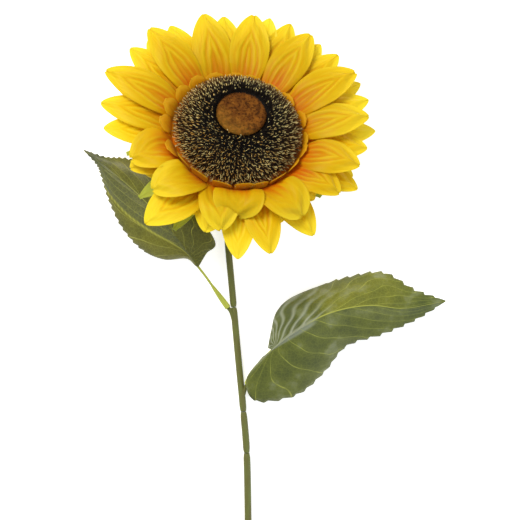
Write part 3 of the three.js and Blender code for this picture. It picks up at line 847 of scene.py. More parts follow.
def ring_of_blanks(name, blank, layer, rows, cloth):
    """Copies of a blank at rows of azimuth and drop in degrees, and stretch, then put on the head."""
    azimuths, drops, stretches = np.array(rows, float).T
    azimuths = np.radians(azimuths)
    radius = np.full_like(azimuths, layer["root_radius"])
    roots = np.stack([radius * np.cos(azimuths), radius * np.sin(azimuths), 0 * radius], axis=-1) * MM
    marks = {
        "azimuth": azimuths,
        "drop": np.radians(drops),
        "stretch": stretches,
        "tone": [wobble(k + 71) for k in range(len(rows))],
    }
    ring = new_piece(name, roots, [], marks)
    run_tree(ring, ring_tree, {"Blank": blank, "Cloth": cloth})
    thicken(ring, SATIN_THICKNESS)
    bake(ring)
    flat = np.array([tuple(vertex.co) for vertex in ring.data.vertices]) / MM
    for vertex, point in zip(ring.data.vertices, on_head(flat + [0, 0, layer["depth"]])):
        vertex.co = point
    bpy.data.objects.remove(blank)
    return ring


print("Ribs in a blank:", BLANK_RIBS)

# %% [markdown]
# The tabs are cut from one ring of cloth. Those at the left of the picture are the longest and lean
# outwards, those above the disc are short, and those below it stand upright against its edge.

# %% Tabs round the disc
TAB_COUNT = 20
TAB_LAYER = {
    "depth": -0.9,
    "root_radius": 53.5,
    "root_share": 0.85,
    "widest_at": 0.5,
    "tip_share": 0.4,
    "pressed": {"Rib height": 0.15, "Margin drop": 0.6, "Ripple": 0.6},
}
UNTURNED = {"azimuth": 0, "turn": 0, "cup": 0.1, "twist": 0}
TAB = {**UNTURNED, "length": 17, "lift": 66, "curl": -26, "half_width": 8.2}
TAB_LEAN_IN = 37
TAB_LEAN_ASIDE = 8


def tab_row(k):
    """Azimuth, drop and stretch of a tab."""
    degrees = 360 / TAB_COUNT * k
    azimuth = math.radians(degrees)
    above = max(0, math.sin(azimuth))
    below = max(0, -math.sin(azimuth))
    stretch = 0.78 - 0.2 * math.cos(azimuth) - 0.34 * above + 0.12 * wobble(k + 40)
    drop = 4 + 5 * wobble(k + 60) - TAB_LEAN_ASIDE * (1 - below) * math.cos(azimuth) - TAB_LEAN_IN * below
    return [degrees + 5 * wobble(k), drop, stretch]


tab_rows = [tab_row(k) for k in range(TAB_COUNT)]
tab_blank = pressed_blank("tab_blank", TAB, TAB_LAYER, tab_satin, rows=20, columns=13)
tabs = ring_of_blanks("tabs_satin", tab_blank, TAB_LAYER, tab_rows, tab_satin)
settle(tabs, "petal_inner", "petal_layer_inner")

# %% [markdown]
# ## Sepals behind the petals
#
# Fourteen narrow sepals of lime green cloth lie behind the petals. Two show through gaps over the left
# leaf. They use the same ring tree. Their drop follows the lean of the head, so that those nearest to the
# table stay off it.

# %% Sepals
SEPAL_LAYER = {
    "depth": -9,
    "root_radius": 47.5,
    "root_share": 0.8,
    "widest_at": 0.4,
    "tip_share": 0.22,
    "pressed": {"Rib height": 0.2, "Margin drop": 0.8, "Ripple": 0.8},
}
SEPAL = {**UNTURNED, "length": 47, "lift": 1, "curl": -6, "half_width": 8}
SEPAL_LIFT_OFF_TABLE = 10
SEPAL_AZIMUTHS = [9, 35, 60, 86, 112, 137, 163, 189, 214, 238, 266, 292, 325, 348]
SEPAL_LENGTHS = [47, 50, 44, 42, 48, 50, 46, 44, 49, 50, 40, 36, 38, 44]


def sepal_row(azimuth, length):
    """Azimuth, drop and stretch of a sepal. Those on the side that the head leans to are lifted."""
    towards_table = math.cos(math.radians(azimuth) - HEAD_LEAN)
    return [azimuth, -SEPAL_LIFT_OFF_TABLE * towards_table, length / SEPAL["length"]]


lime_satin = satin("Polyester satin, lime dye", "#98a63a", "#aab640", "#bcc552")
sepal_rows = [sepal_row(azimuth, length) for azimuth, length in zip(SEPAL_AZIMUTHS, SEPAL_LENGTHS)]
sepal_blank = pressed_blank("sepal_blank", SEPAL, SEPAL_LAYER, lime_satin, rows=24, columns=15)
sepals = ring_of_blanks("sepals_satin", sepal_blank, SEPAL_LAYER, sepal_rows, lime_satin)
settle(sepals, "bract", "bract_layer")

# %% [markdown]
# ## Turned pieces
#
# The cushion, its brown pad and the calyx cup are round about the head's axis. Each is a profile of
# radius and height turned about it, with a ring of points at each profile point. A profile that starts
# and ends on the axis gives a closed body. Profiles run from the underside outwards, up and back in,
# which makes the faces point out.

# %% Turn a profile about the head's axis
POLE_RADIUS = 0.01


def turned_piece(name, profile, sides, marks=(), shape=None):
    """A profile of radius and height in the head's drawing, turned about its axis.

    shape may move the points, and each mark is a function of radius, height and turn.
    """
    turn = np.linspace(2 * np.pi, 0, sides, endpoint=False)
    radius, turn = np.meshgrid([max(POLE_RADIUS, r) for r, _ in profile], turn, indexing="ij")
    height = np.repeat([[h] for _, h in profile], sides, axis=1)
    if shape:
        radius, height = shape(radius, height, turn)
    points = np.stack([radius * np.cos(turn), radius * np.sin(turn), height], axis=-1)
    values = {mark: work_out(radius, height, turn) for mark, work_out in dict(marks).items()}
    return new_piece(name, on_head(points).reshape(-1, 3), grid_faces(*radius.shape, closed=True), values)


def close_ends(piece):
    """Merges the tiny rings at the poles of a turned piece into one point each."""
    weld = piece.modifiers.new("Weld", "WELD")
    weld.merge_threshold = 3 * POLE_RADIUS * MM


print("Turned pieces start and end", POLE_RADIUS, "mm from the axis")

# %% [markdown]
# ## Disc
#
# The disc is a domed ring of plastic, covered with nearly nine thousand bristles, with a hollow in its
# middle for a brown pad. Between the bristles only the dark body shows, so the body is a plain turned
# piece, 3.4 mm below the CAD surface. Four numbers at its points steer the bristles: `bristly`, whether
# they grow there, one for how many have painted tips, `golden`, how yellow the paint is, and `outer`, how
# worn and brown the bare ones are. Fewer tips are painted towards the pad, partly as the disc's own paint
# and partly as painted shade, which darkens the ring in the hollow round the pad.

# %% Body of the disc
DISC_RADIUS = 52
DISC_CREST_RADIUS = 26
DISC_HEIGHT = 33
DISC_FOOT_RADIUS = 48.5
DISC_FOOT_HEIGHT = 4
BODY_SINK = 3.4
FLANK_LEAN = 2.2
FLANK_RISE = 1.3
HOLLOW_RADIUS = 20.9
HOLLOW_FLOOR = 28
PALE_FROM, PALE_TO = 17.0, 38.0
WORN_FROM, WORN_TO = 30.0, 46.0
GOLDEN_SIDE = math.radians(235)
DISC_SIDES = 96


def disc_profile():
    """The disc's body from its underside over the crest to the floor of the hollow."""
    angle = np.linspace(0, np.pi / 2, 24)
    flank_radius = DISC_CREST_RADIUS + (DISC_RADIUS - DISC_CREST_RADIUS) * np.cos(angle) ** FLANK_LEAN
    flank_height = DISC_FOOT_HEIGHT + (DISC_HEIGHT - DISC_FOOT_HEIGHT) * np.sin(angle) ** FLANK_RISE
    flank = np.stack(
        [flank_radius - BODY_SINK * np.cos(angle), flank_height - BODY_SINK * np.sin(angle)], axis=-1
    )
    crest_height = DISC_HEIGHT - BODY_SINK
    foot = [[0, 0], [DISC_FOOT_RADIUS - 4, 0], [DISC_FOOT_RADIUS - BODY_SINK, 1]]
    hollow = [[23.5, crest_height - 0.2], [HOLLOW_RADIUS + 0.8, crest_height - 0.8], [HOLLOW_RADIUS, 28.4]]
    floor = [[HOLLOW_RADIUS - 0.4, HOLLOW_FLOOR], [0, HOLLOW_FLOOR]]
    return np.array(foot + flank.tolist() + hollow + floor)


def bristly_part(radius, height, turn):
    """1 where bristles grow: on the flank and the crest, down to the edge of the hollow."""
    return (radius > HOLLOW_RADIUS + 0.5) & (height > DISC_FOOT_HEIGHT - 1)


def outer_part(radius, height, turn):
    """1 on the outer flank, where the unpainted bristles are brown and worn."""
    return np.clip((radius - WORN_FROM) / (WORN_TO - WORN_FROM), 0, 1)


def painted_tips_and_shade(radius, height, turn):
    """How many bristles are painted: more near the foot, fewer towards the pad, partly as painted shade in
    the hollow there, and fewer where the head leans to.
    """
    leaning = np.cos(turn - HEAD_LEAN)
    outward = np.clip((radius - PALE_FROM) / (PALE_TO - PALE_FROM), 0, 1)
    outward = outward - 0.3 * outer_part(radius, height, turn) * (1 + leaning)
    return outward * (1 - 0.35 * leaning) - 0.15 * leaning


def golden_part(radius, height, turn):
    """How golden the paint is: most at the lower left of the disc."""
    return 0.65 + 0.3 * np.cos(turn - GOLDEN_SIDE)


profile = disc_profile()
disc_marks = {"bristly": bristly_part, "tip_paint_and_shade": painted_tips_and_shade, "golden": golden_part, "outer": outer_part}
disc_body = turned_piece("disc_body", profile, DISC_SIDES, disc_marks)
close_ends(disc_body)
bake(disc_body)
print("Profile points of the disc:", len(profile))

# %% [markdown]
# A bristle is a short stiff stalk of black plastic, and many had their ends dipped in pale yellow. The
# tree scatters points over the body with a least distance between them and stands a four-sided stalk on
# each. The stalks spread from a place deep in the disc, and chance turns and stretches each one a little.
# The chance has a fixed seed, so that the disc comes out the same each time. Each stalk keeps `up`, the
# share of its height, for the dipped tip, and `tone`, its own chance number, which makes it stouter and
# more likely to be painted.

# %% Build the bristle tree
THINNEST, STOUTEST = 0.6, 1.2
SHORTEST, LONGEST = 0.72, 1.2
CROWDING = 4.0
TONE_SEED = 11

bristles, size = geometry_tree(
    "Bristles on a surface",
    {
        "Spacing": ("NodeSocketFloat", 0.95 * MM),
        "Length": ("NodeSocketFloat", 5.5 * MM),
        "Root radius": ("NodeSocketFloat", 0.13 * MM),
        "Tip radius": ("NodeSocketFloat", 0.11 * MM),
        "Focus": ("NodeSocketVector", on_head([0, 0, -12]).tolist()),
        "Unevenness": ("NodeSocketFloat", 0.36),
        "Least tone": ("NodeSocketFloat", 0.0),
        "Most tone": ("NodeSocketFloat", 0.5),
        "Seed": ("NodeSocketInt", 7),
        "Plastic": ("NodeSocketMaterial", None),
    },
)
density = add(bristles, "GeometryNodeInputNamedAttribute", {"Name": "bristly"}, data_type="FLOAT")
area = add(bristles, "ShaderNodeMath", {0: size["Spacing"], 1: 2.0}, operation="POWER")
most = add(bristles, "ShaderNodeMath", {0: CROWDING, 1: area}, operation="DIVIDE")
points = add(
    bristles,
    "GeometryNodeDistributePointsOnFaces",
    {
        "Mesh": size["Geometry"],
        "Distance Min": size["Spacing"],
        "Density Max": most,
        "Density Factor": density,
        "Seed": size["Seed"],
    },
    distribute_method="POISSON",
)
stalk = add(
    bristles,
    "GeometryNodeMeshCone",
    {
        "Vertices": 4,
        "Side Segments": 1,
        "Radius Top": size["Tip radius"],
        "Radius Bottom": size["Root radius"],
        "Depth": size["Length"],
    },
)
place = add(bristles, "GeometryNodeInputPosition")
height = add(bristles, "ShaderNodeSeparateXYZ", {0: place}, output="Z")
share = add(bristles, "ShaderNodeMath", {0: height, 1: size["Length"]}, operation="DIVIDE")
marked = add(
    bristles,
    "GeometryNodeStoreNamedAttribute",
    {"Geometry": stalk, "Name": "up", "Value": share},
    data_type="FLOAT",
    domain="POINT",
)
back = add(bristles, "ShaderNodeMath", {0: size["Unevenness"], 1: -1.0}, operation="MULTIPLY")
chance = add(
    bristles,
    "FunctionNodeRandomValue",
    {
        "Min": add(bristles, "ShaderNodeCombineXYZ", {0: back, 1: back, 2: back}),
        "Max": add(bristles, "ShaderNodeCombineXYZ", dict.fromkeys(range(3), size["Unevenness"])),
        "Seed": size["Seed"],
    },
    data_type="FLOAT_VECTOR",
)
away = add(bristles, "ShaderNodeVectorMath", {0: place, 1: size["Focus"]}, operation="SUBTRACT")
outward = add(bristles, "ShaderNodeVectorMath", {0: away}, operation="NORMALIZE")
aim = add(bristles, "ShaderNodeVectorMath", {0: outward, 1: chance}, operation="ADD")
turned = add(bristles, "FunctionNodeAlignRotationToVector", {"Vector": aim}, axis="Z")
heights = {"Min": SHORTEST, "Max": LONGEST, "Seed": size["Seed"]}
tall = add(bristles, "FunctionNodeRandomValue", heights, data_type="FLOAT")
tones = {"Min": size["Least tone"], "Max": size["Most tone"], "Seed": TONE_SEED}
luck = add(bristles, "FunctionNodeRandomValue", tones, data_type="FLOAT")
girth = add(bristles, "ShaderNodeMapRange", {"Value": luck, "To Min": THINNEST, "To Max": STOUTEST})
scale = add(bristles, "ShaderNodeCombineXYZ", {0: girth, 1: girth, 2: tall})
copies = add(
    bristles,
    "GeometryNodeInstanceOnPoints",
    {"Points": points, "Instance": marked, "Rotation": turned, "Scale": scale},
)
shaded = add(
    bristles,
    "GeometryNodeStoreNamedAttribute",
    {"Geometry": copies, "Name": "tone", "Value": luck},
    data_type="FLOAT",
    domain="INSTANCE",
)
finish_tree(bristles, shaded, size["Plastic"])
print("Nodes in the bristle tree:", len(bristles.nodes))

# %% [markdown]
# The bristle material blends from black plastic to the dipped tip by `up`. Whether a bristle was dipped,
# how well the paint covered it and how golden it came out differ from bristle to bristle. A bristle is too
# thin to show a highlight of its own, so the plastic is rough. The body below is the same plastic without
# any tip.

# %% Materials of the disc
TIP_DIPPED_FROM = 0.76
NEVER_DIPPED = 2.0
# The fractions of these multiples of a bristle's tone give it a cover and a hue of its own
COVER_TURNS = 91.0
HUE_TURNS = 37.0


def bristle_plastic(name, stalk_colour, worn_colour, cream, gold, dip_from):
    """Moulded black polyethylene bristles, with ends dipped in light cream and golden paint where their
    tone is high.
    """
    material, tree = new_material(name)
    up, tone, tip_paint_and_shade, golden, outer = (
        add(tree, "ShaderNodeAttribute", output="Fac", attribute_name=mark)
        for mark in ("up", "tone", "tip_paint_and_shade", "golden", "outer")
    )
    reach = add(tree, "ShaderNodeMath", {0: tip_paint_and_shade, 1: 0.25, 2: up}, operation="MULTIPLY_ADD")
    dip = add(
        tree, "ShaderNodeMapRange", {"Value": reach, "From Min": dip_from, "From Max": dip_from + 0.12}
    )
    # A bristle is painted if its chance is high enough. More of them are far from the pad, and the few
    # near it paint shade into the hollow round the pad
    chance = add(tree, "ShaderNodeMath", {0: tip_paint_and_shade, 1: 0.25, 2: tone}, operation="MULTIPLY_ADD")
    chosen = add(tree, "ShaderNodeMapRange", {"Value": chance, "From Min": 0.78, "From Max": 0.86})
    lot = add(tree, "ShaderNodeMath", {0: tone, 1: COVER_TURNS}, operation="MULTIPLY")
    any_cover = add(tree, "ShaderNodeMath", {0: lot}, operation="FRACT")
    cover = add(tree, "ShaderNodeMapRange", {"Value": any_cover, "To Min": 0.2, "To Max": 1.0})
    wet = add(tree, "ShaderNodeMath", {0: dip, 1: chosen}, operation="MULTIPLY")
    painted = add(tree, "ShaderNodeMath", {0: wet, 1: cover}, operation="MULTIPLY")
    shade = add(tree, "ShaderNodeMath", {0: tone, 1: HUE_TURNS}, operation="MULTIPLY")
    any_hue = add(tree, "ShaderNodeMath", {0: shade}, operation="FRACT")
    hue = add(tree, "ShaderNodeMath", {0: any_hue, 1: golden}, operation="MULTIPLY")
    paint = add(tree, "ShaderNodeMix", {"Factor": hue, "A": cream, "B": gold}, data_type="RGBA")
    worn = add(tree, "ShaderNodeMath", {0: up, 1: outer}, operation="MULTIPLY")
    aged = {"Factor": worn, "A": stalk_colour, "B": worn_colour}
    bare = add(tree, "ShaderNodeMix", aged, data_type="RGBA")
    colour = add(tree, "ShaderNodeMix", {"Factor": painted, "A": bare, "B": paint}, data_type="RGBA")
    surface = add(
        tree,
        "ShaderNodeBsdfPrincipled",
        {"Base Color": colour, "Roughness": 0.6, "Specular IOR Level": 0.12},
    )
    finish_material(tree, surface)
    return material


bristle_colours = "#19110a", "#583816", "#fdf0a6", "#dd9b28"
body_colours = 4 * ["#070503"]
dipped_name = "Moulded polyethylene bristles, dipped tips"
bristle_black = bristle_plastic(dipped_name, *bristle_colours, TIP_DIPPED_FROM)
body_black = bristle_plastic("Moulded polyethylene body", *body_colours, NEVER_DIPPED)
disc_body.data.materials.append(body_black)
print("Materials so far:", len(bpy.data.materials))

# %% [markdown]
# The tree runs twice on the disc. The first run stands thin stalks of low tone close together, of which
# only a few near the foot are painted. The second run adds stouter ones of high tone, whose dipped ends
# are thicker.

# %% Stand the bristles on the disc
DIPPED_SIZES = {"Spacing": 1.35, "Root radius": 0.16, "Tip radius": 0.21}


def grown_on(body, name, sizes, values):
    """A copy of a body with only the bristles that grow on it. Sizes are in millimetres."""
    grown = body.copy()
    grown.data = body.data.copy()
    grown.name = name
    bpy.context.scene.collection.objects.link(grown)
    run_tree(grown, bristles, {**values, **{label: size * MM for label, size in sizes.items()}})
    bake(grown)
    return grown


dipped = {"Least tone": 0.5, "Most tone": 1.0, "Seed": 19, "Plastic": bristle_black}
disc_bristles = grown_on(disc_body, "disc_bristles", {}, {"Plastic": bristle_black})
disc_dipped = grown_on(disc_body, "disc_bristles_dipped", DIPPED_SIZES, dipped)
for piece in (disc_body, disc_bristles, disc_dipped):
    settle(piece, "disc", "disc_cushion")

# %% [markdown]
# ## Pad
#
# The brown pad in the hollow is a foam button covered with flock, which is short fibre shot into glue. A
# low dome carries the colour, and the same bristle tree, with much shorter stalks, gives the flock. Its
# colour is mottled over a few millimetres, where the fibre lies in different ways. Light is lost between
# the fibres, so flock is deep in colour and has no gloss.

# %% Flocked pad
PAD_RADIUS = 20
PAD_FLOOR = 28.35
PAD_THICKNESS = 4.5
PAD_SHOULDER = 3.5
PAD_SIDES = 64
FLOCK_SIZES = {"Spacing": 0.55, "Length": 1.0, "Root radius": 0.14, "Tip radius": 0.1}
FLOCK_PATCH = 4
FLOCK_FLECK = 2.0
# The way towards the pad's lower left, which is painted lighter and golden as its lit side
LIT_SIDE_WAY = (-0.55 / (PAD_RADIUS * MM), -0.75 / (PAD_RADIUS * MM), 0)


def flock(name, shade, dark, light, golden):
    """Nylon flock, mottled where its fibres lie in different ways, golden in patches, and painted golden
    and lighter at the lower left as the side that light falls on.
    """
    material, tree = new_material(name)
    place = add(tree, "ShaderNodeTexCoord", output="Object")
    patch_size = {"Vector": place, "Scale": 1 / (FLOCK_PATCH * MM), "Detail": 4.0}
    patches = add(tree, "ShaderNodeTexNoise", patch_size)
    lie = add(tree, "ShaderNodeMapRange", {"Value": patches, "From Min": 0.35, "From Max": 0.65})
    fleck_size = {"Vector": place, "Scale": 1 / (FLOCK_FLECK * MM), "Detail": 3.0}
    fibres = add(tree, "ShaderNodeTexNoise", fleck_size)
    dark_share = {"Value": fibres, "From Min": 0.46, "From Max": 0.6, "To Max": 0.9}
    fleck = add(tree, "ShaderNodeMapRange", dark_share)
    mottled = add(tree, "ShaderNodeMix", {"Factor": lie, "A": dark, "B": light}, data_type="RGBA")
    brown = add(tree, "ShaderNodeMix", {"Factor": fleck, "A": mottled, "B": shade}, data_type="RGBA")
    tone = add(tree, "ShaderNodeAttribute", output="Fac", attribute_name="tone")
    middle = on_head([0, 0, PAD_FLOOR + PAD_THICKNESS])
    from_middle = add(tree, "ShaderNodeVectorMath", {0: place, 1: tuple(middle)}, operation="SUBTRACT")
    aside = add(
        tree,
        "ShaderNodeVectorMath",
        {0: from_middle, 1: LIT_SIDE_WAY},
        operation="DOT_PRODUCT",
        output="Value",
    )
    # Golden in random patches, and painted light that grows towards the lower left
    uneven = add(tree, "ShaderNodeMath", {0: patches, 1: 0.9, 2: aside}, operation="MULTIPLY_ADD")
    mixed = add(tree, "ShaderNodeMath", {0: tone, 1: 0.25, 2: uneven}, operation="MULTIPLY_ADD")
    golden_and_lit_share = add(
        tree, "ShaderNodeMapRange", {"Value": mixed, "From Min": 0.6, "From Max": 1.4, "To Max": 0.35}
    )
    golden_and_lit = {"Factor": golden_and_lit_share, "A": brown, "B": golden}
    colour = add(tree, "ShaderNodeMix", golden_and_lit, data_type="RGBA")
    surface = add(
        tree,
        "ShaderNodeBsdfPrincipled",
        {"Base Color": colour, "Roughness": 0.9, "Specular IOR Level": 0.1},
    )
    finish_material(tree, surface)
    return material


def pad_profile():
    """A low dome with a rounded shoulder, from the middle of its underside to the middle of its top."""
    angle = np.linspace(0, np.pi / 2, 14)
    inner = PAD_RADIUS - PAD_SHOULDER
    shoulder_height = PAD_FLOOR + 1 + (PAD_THICKNESS - 1.6) * np.sin(angle)
    top_radius = np.array([15, 10, 5, 0])
    top_height = PAD_FLOOR + PAD_THICKNESS - 0.6 * (top_radius / inner) ** 2
    radius = [0, PAD_RADIUS - 0.6, *(inner + PAD_SHOULDER * np.cos(angle)), *top_radius]
    height = [PAD_FLOOR, PAD_FLOOR, *shoulder_height, *top_height]
    return np.stack([radius, height], axis=-1)


def flocked_part(radius, height, turn):
    """1 on the top and the shoulder of the pad, where the flock grows."""
    return height > PAD_FLOOR + 0.8


# The last colour is the golden of the patches and of the painted light at the lower left
pad_brown = flock("Nylon flock, brown", "#3a1f0a", "#6e4016", "#985f20", "#b98a30")
pad = turned_piece("pad_body", pad_profile(), PAD_SIDES, {"bristly": flocked_part})
close_ends(pad)
pad.data.materials.append(pad_brown)
bake(pad)
standing = {"Unevenness": 0.6, "Most tone": 1.0, "Seed": 3, "Plastic": pad_brown}
pad_flock = grown_on(pad, "pad_flock", FLOCK_SIZES, standing)
for piece in (pad, pad_flock):
    settle(piece, "pad", "disc_centre_pad")

# %% [markdown]
# ## Calyx cup
#
# A moulded green cup clips over the back of the sepals and takes the neck of the stem. It shows from
# behind and from the side. Low flutes run down it, and it is turned like the disc, with the flutes added
# to its radius.

# %% Calyx
FLUTES = 20
FLUTE_DEPTH = 0.35
CALYX_SIDES = 160
CALYX_BORE = [[3.4, -10.2], [3.2, -20.6], [3.2, -31], [5.9, -31]]
CALYX_WALL = [[8, -29.6], [12, -27], [18.4, -23.2], [24, -19], [28.4, -15.6], [31.4, -12.2]]
CALYX_RIM = [[32, -10.8], [31.2, -10.2], [3.4, -10.2]]
PLASTIC_FLOW = (1.0, 0.22, 1.0)
PLASTIC_CLOUD = 4
PLASTIC_GRAIN = 0.8


def fluted(radius, height, turn):
    """Adds low flutes to the outside of the cup, deepest half way down."""
    outside = (radius > 6) & (height < -11)
    return radius + FLUTE_DEPTH * np.cos(FLUTES * turn) * outside, height


def moulded_plastic(name, green, brown, roughness):
    """Moulded polyethylene: an even colour that is a little cloudy, with a soft satin gloss."""
    material, tree = new_material(name)
    place = add(tree, "ShaderNodeTexCoord", output="Object")
    # The clouds are drawn out along the stem, the way the plastic flowed into its mould
    long_way = add(tree, "ShaderNodeVectorMath", {0: place, 1: PLASTIC_FLOW}, operation="MULTIPLY")
    cloud_size = {"Vector": long_way, "Scale": 1 / (PLASTIC_CLOUD * MM), "Detail": 4.0}
    clouds = add(tree, "ShaderNodeTexNoise", cloud_size)
    share = add(tree, "ShaderNodeMapRange", {"Value": clouds, "From Min": 0.35, "From Max": 0.75})
    colour = add(tree, "ShaderNodeMix", {"Factor": share, "A": green, "B": brown}, data_type="RGBA")
    grain_size = {"Vector": long_way, "Scale": 1 / (PLASTIC_GRAIN * MM), "Detail": 3.0}
    grain = add(tree, "ShaderNodeTexNoise", grain_size)
    relief = add(tree, "ShaderNodeBump", {"Strength": 0.35, "Distance": 0.2 * MM, "Height": grain})
    surface = add(
        tree,
        "ShaderNodeBsdfPrincipled",
        {"Base Color": colour, "Roughness": roughness, "Specular IOR Level": 0.35, "Normal": relief},
    )
    finish_material(tree, surface)
    return material


stem_plastic = moulded_plastic("Moulded polyethylene, olive", "#656d31", "#5f5a2b", 0.55)
petiole_plastic = moulded_plastic("Moulded polyethylene, lime", "#b4bb4a", "#a3ab3c", 0.48)
calyx_profile = CALYX_BORE + CALYX_WALL + CALYX_RIM
calyx = turned_piece("calyx_cup_moulded", calyx_profile, CALYX_SIDES, shape=fluted)
calyx.data.materials.append(stem_plastic)
close_ends(calyx)
bake(calyx)
settle(calyx, "calyx", "calyx_cup")

# %% [markdown]
# ## Moulded stems
#
# The stem is four moulded tubes over one wire, and each leaf has a moulded stalk that plugs over a peg.
# All of them follow a path and change their width along it. Geometry Nodes sweep a circle along such a
# path: its points carry `half_width`, and the tree turns the edges into curves and the curves into round
# rods.
#
# The path is a smooth curve through a few drawn stations, with evenly spaced points.

# %% Follow a smooth path


def spline(stations, t):
    """Points at shares t of a smooth curve through the stations. Every gap counts alike."""
    stations = np.asarray(stations, float)
    before_first = 2 * stations[0] - stations[1]
    after_last = 2 * stations[-1] - stations[-2]
    knots = np.array([before_first, *stations, after_last])
    way = np.clip(t, 0, 1) * (len(stations) - 1)
    gap = np.minimum(np.asarray(way, int), len(stations) - 2)
    s = (way - gap)[..., None]
    before, start, end, after = (knots[gap + k] for k in range(4))
    leaving = (end - before) / 2
    arriving = (after - start) / 2
    return (
        (2 * s**3 - 3 * s**2 + 1) * start
        + (s**3 - 2 * s**2 + s) * leaving
        + (3 * s**2 - 2 * s**3) * end
        + (s**3 - s**2) * arriving
    )


def even_path(stations, shares):
    """Points at shares of a smooth curve's length, and that length."""
    fine = spline(stations, np.linspace(0, 1, 2000))
    steps = np.linalg.norm(np.diff(fine, axis=0), axis=1)
    run = np.concatenate([[0], np.cumsum(steps)])
    wanted = np.asarray(shares) * run[-1]
    return np.stack([np.interp(wanted, run, fine[:, k]) for k in range(3)], axis=-1), run[-1]


def behind_head(depth):
    """A point on the disc's axis, this far behind its base."""
    return (np.array([0, 0, HEAD_HEIGHT]) - depth * np.array(head_axis)).tolist()


STEM_ROUTE = [
    behind_head(22),
    behind_head(28),
    behind_head(34),
    [-6.6, -27.5, 12.4],
    [-9.4, -44, 7.8],
    [-8.9, -80, 7.0],
    [-5, -125, 6.6],
    [0.4, -185, 6.0],
    [4.9, -232, 5.5],
    [7.7, -269, 5.1],
    [8.8, -324, 4.7],
    [9.7, -400, 4.0],
    [9.5, -480, 3.4],
]
stem_points, stem_length = even_path(STEM_ROUTE, np.linspace(0, 1, 1000))
print("Stem length:", round(stem_length), "mm")

# %% Build the sweeping tree
sweep, size = geometry_tree(
    "Rod along a path",
    {
        "Sides": ("NodeSocketInt", 28),
        "Closed ends": ("NodeSocketBool", True),
        "Plastic": ("NodeSocketMaterial", None),
    },
)
half_width = add(sweep, "GeometryNodeInputNamedAttribute", {"Name": "half_width"}, data_type="FLOAT")
path = add(sweep, "GeometryNodeMeshToCurve", {"Mesh": size["Geometry"]})
circle = add(sweep, "GeometryNodeCurvePrimitiveCircle", {"Resolution": size["Sides"], "Radius": 1.0})
rod = add(
    sweep,
    "GeometryNodeCurveToMesh",
    {"Curve": path, "Profile Curve": circle, "Scale": half_width, "Fill Caps": size["Closed ends"]},
)
finish_tree(sweep, rod, size["Plastic"])


def path_piece(name, paths):
    """An object of bare edges along paths, each with points on the drawing and half widths in mm."""
    points = np.concatenate([points for points, _ in paths])
    widths = np.concatenate([widths for _, widths in paths])
    edges = []
    start = 0
    for path_points, _ in paths:
        edges += [(k, k + 1) for k in range(start, start + len(path_points) - 1)]
        start += len(path_points)
    mesh = bpy.data.meshes.new(name)
    mesh.from_pydata(on_table(points).tolist(), edges, [])
    attribute = mesh.attributes.new("half_width", "FLOAT", "POINT")
    attribute.data.foreach_set("value", (widths * MM).astype(np.float32))
    piece = bpy.data.objects.new(name, mesh)
    bpy.context.scene.collection.objects.link(piece)
    return piece


print("Nodes in the sweeping tree:", len(sweep.nodes))

# %% [markdown]
# The leaf stalks come first, because the pegs on the stem point into them. A stalk is a socket that
# narrows to a thin stem and runs on as a rib under the leaf's midrib, so the midribs of both leaves are
# needed here.

# %% Measured leaves
LEFT_LEAF = {
    "bulge": 3.5,
    "corrugation": [0.6, 0.8],
    "veins": 8,
    "sweep": 0.46,
    "sway": 0.2,
    "teeth": 30,
    "tooth_depth": 1.8,
    "smooth_until": [0.33, 0.4],
    "yellow": [0.85, 0.75, 0.0],
    # Grey gloss painted on as a highlight: how far it reaches beside the midrib, and how much on the
    # crests and round the base
    "painted_gloss": {
        "near": 0.15,
        "opening": 0.85,
        "far": 0.03,
        "until": 1.0,
        "beside": 0.75,
        "crests": 0.0,
        "base": 0.0,
    },
    "printed": [0.85, 1.0, 0.0],
    "stations": [
        [[-35, -108.4, 15.6], [-33.8, -109.2, 16], [-32.4, -108.2, 16]],
        [[-43.4, -102.2, 13], [-39.2, -100.4, 18], [-25.8, -97.6, 20]],
        [[-62.3, -102.8, 9], [-47.6, -89.4, 20], [-18.3, -89.2, 25]],
        [[-81, -94.6, 6], [-58.6, -75.8, 21], [-31.2, -67.4, 27]],
        [[-97.8, -76.2, 5], [-72, -59.8, 20], [-50.2, -41.5, 24]],
        [[-109, -53, 5.5], [-87.2, -44.6, 18], [-72, -24.6, 19]],
        [[-115.4, -32.6, 8], [-103.2, -31, 15], [-93.9, -17.8, 14]],
        [[-119.3, -22.6, 9], [-116.8, -20, 11], [-111.7, -16.4, 10.5]],
        [[-130, -11, 8], [-130, -10.6, 8], [-129.8, -10.2, 8]],
    ],
}
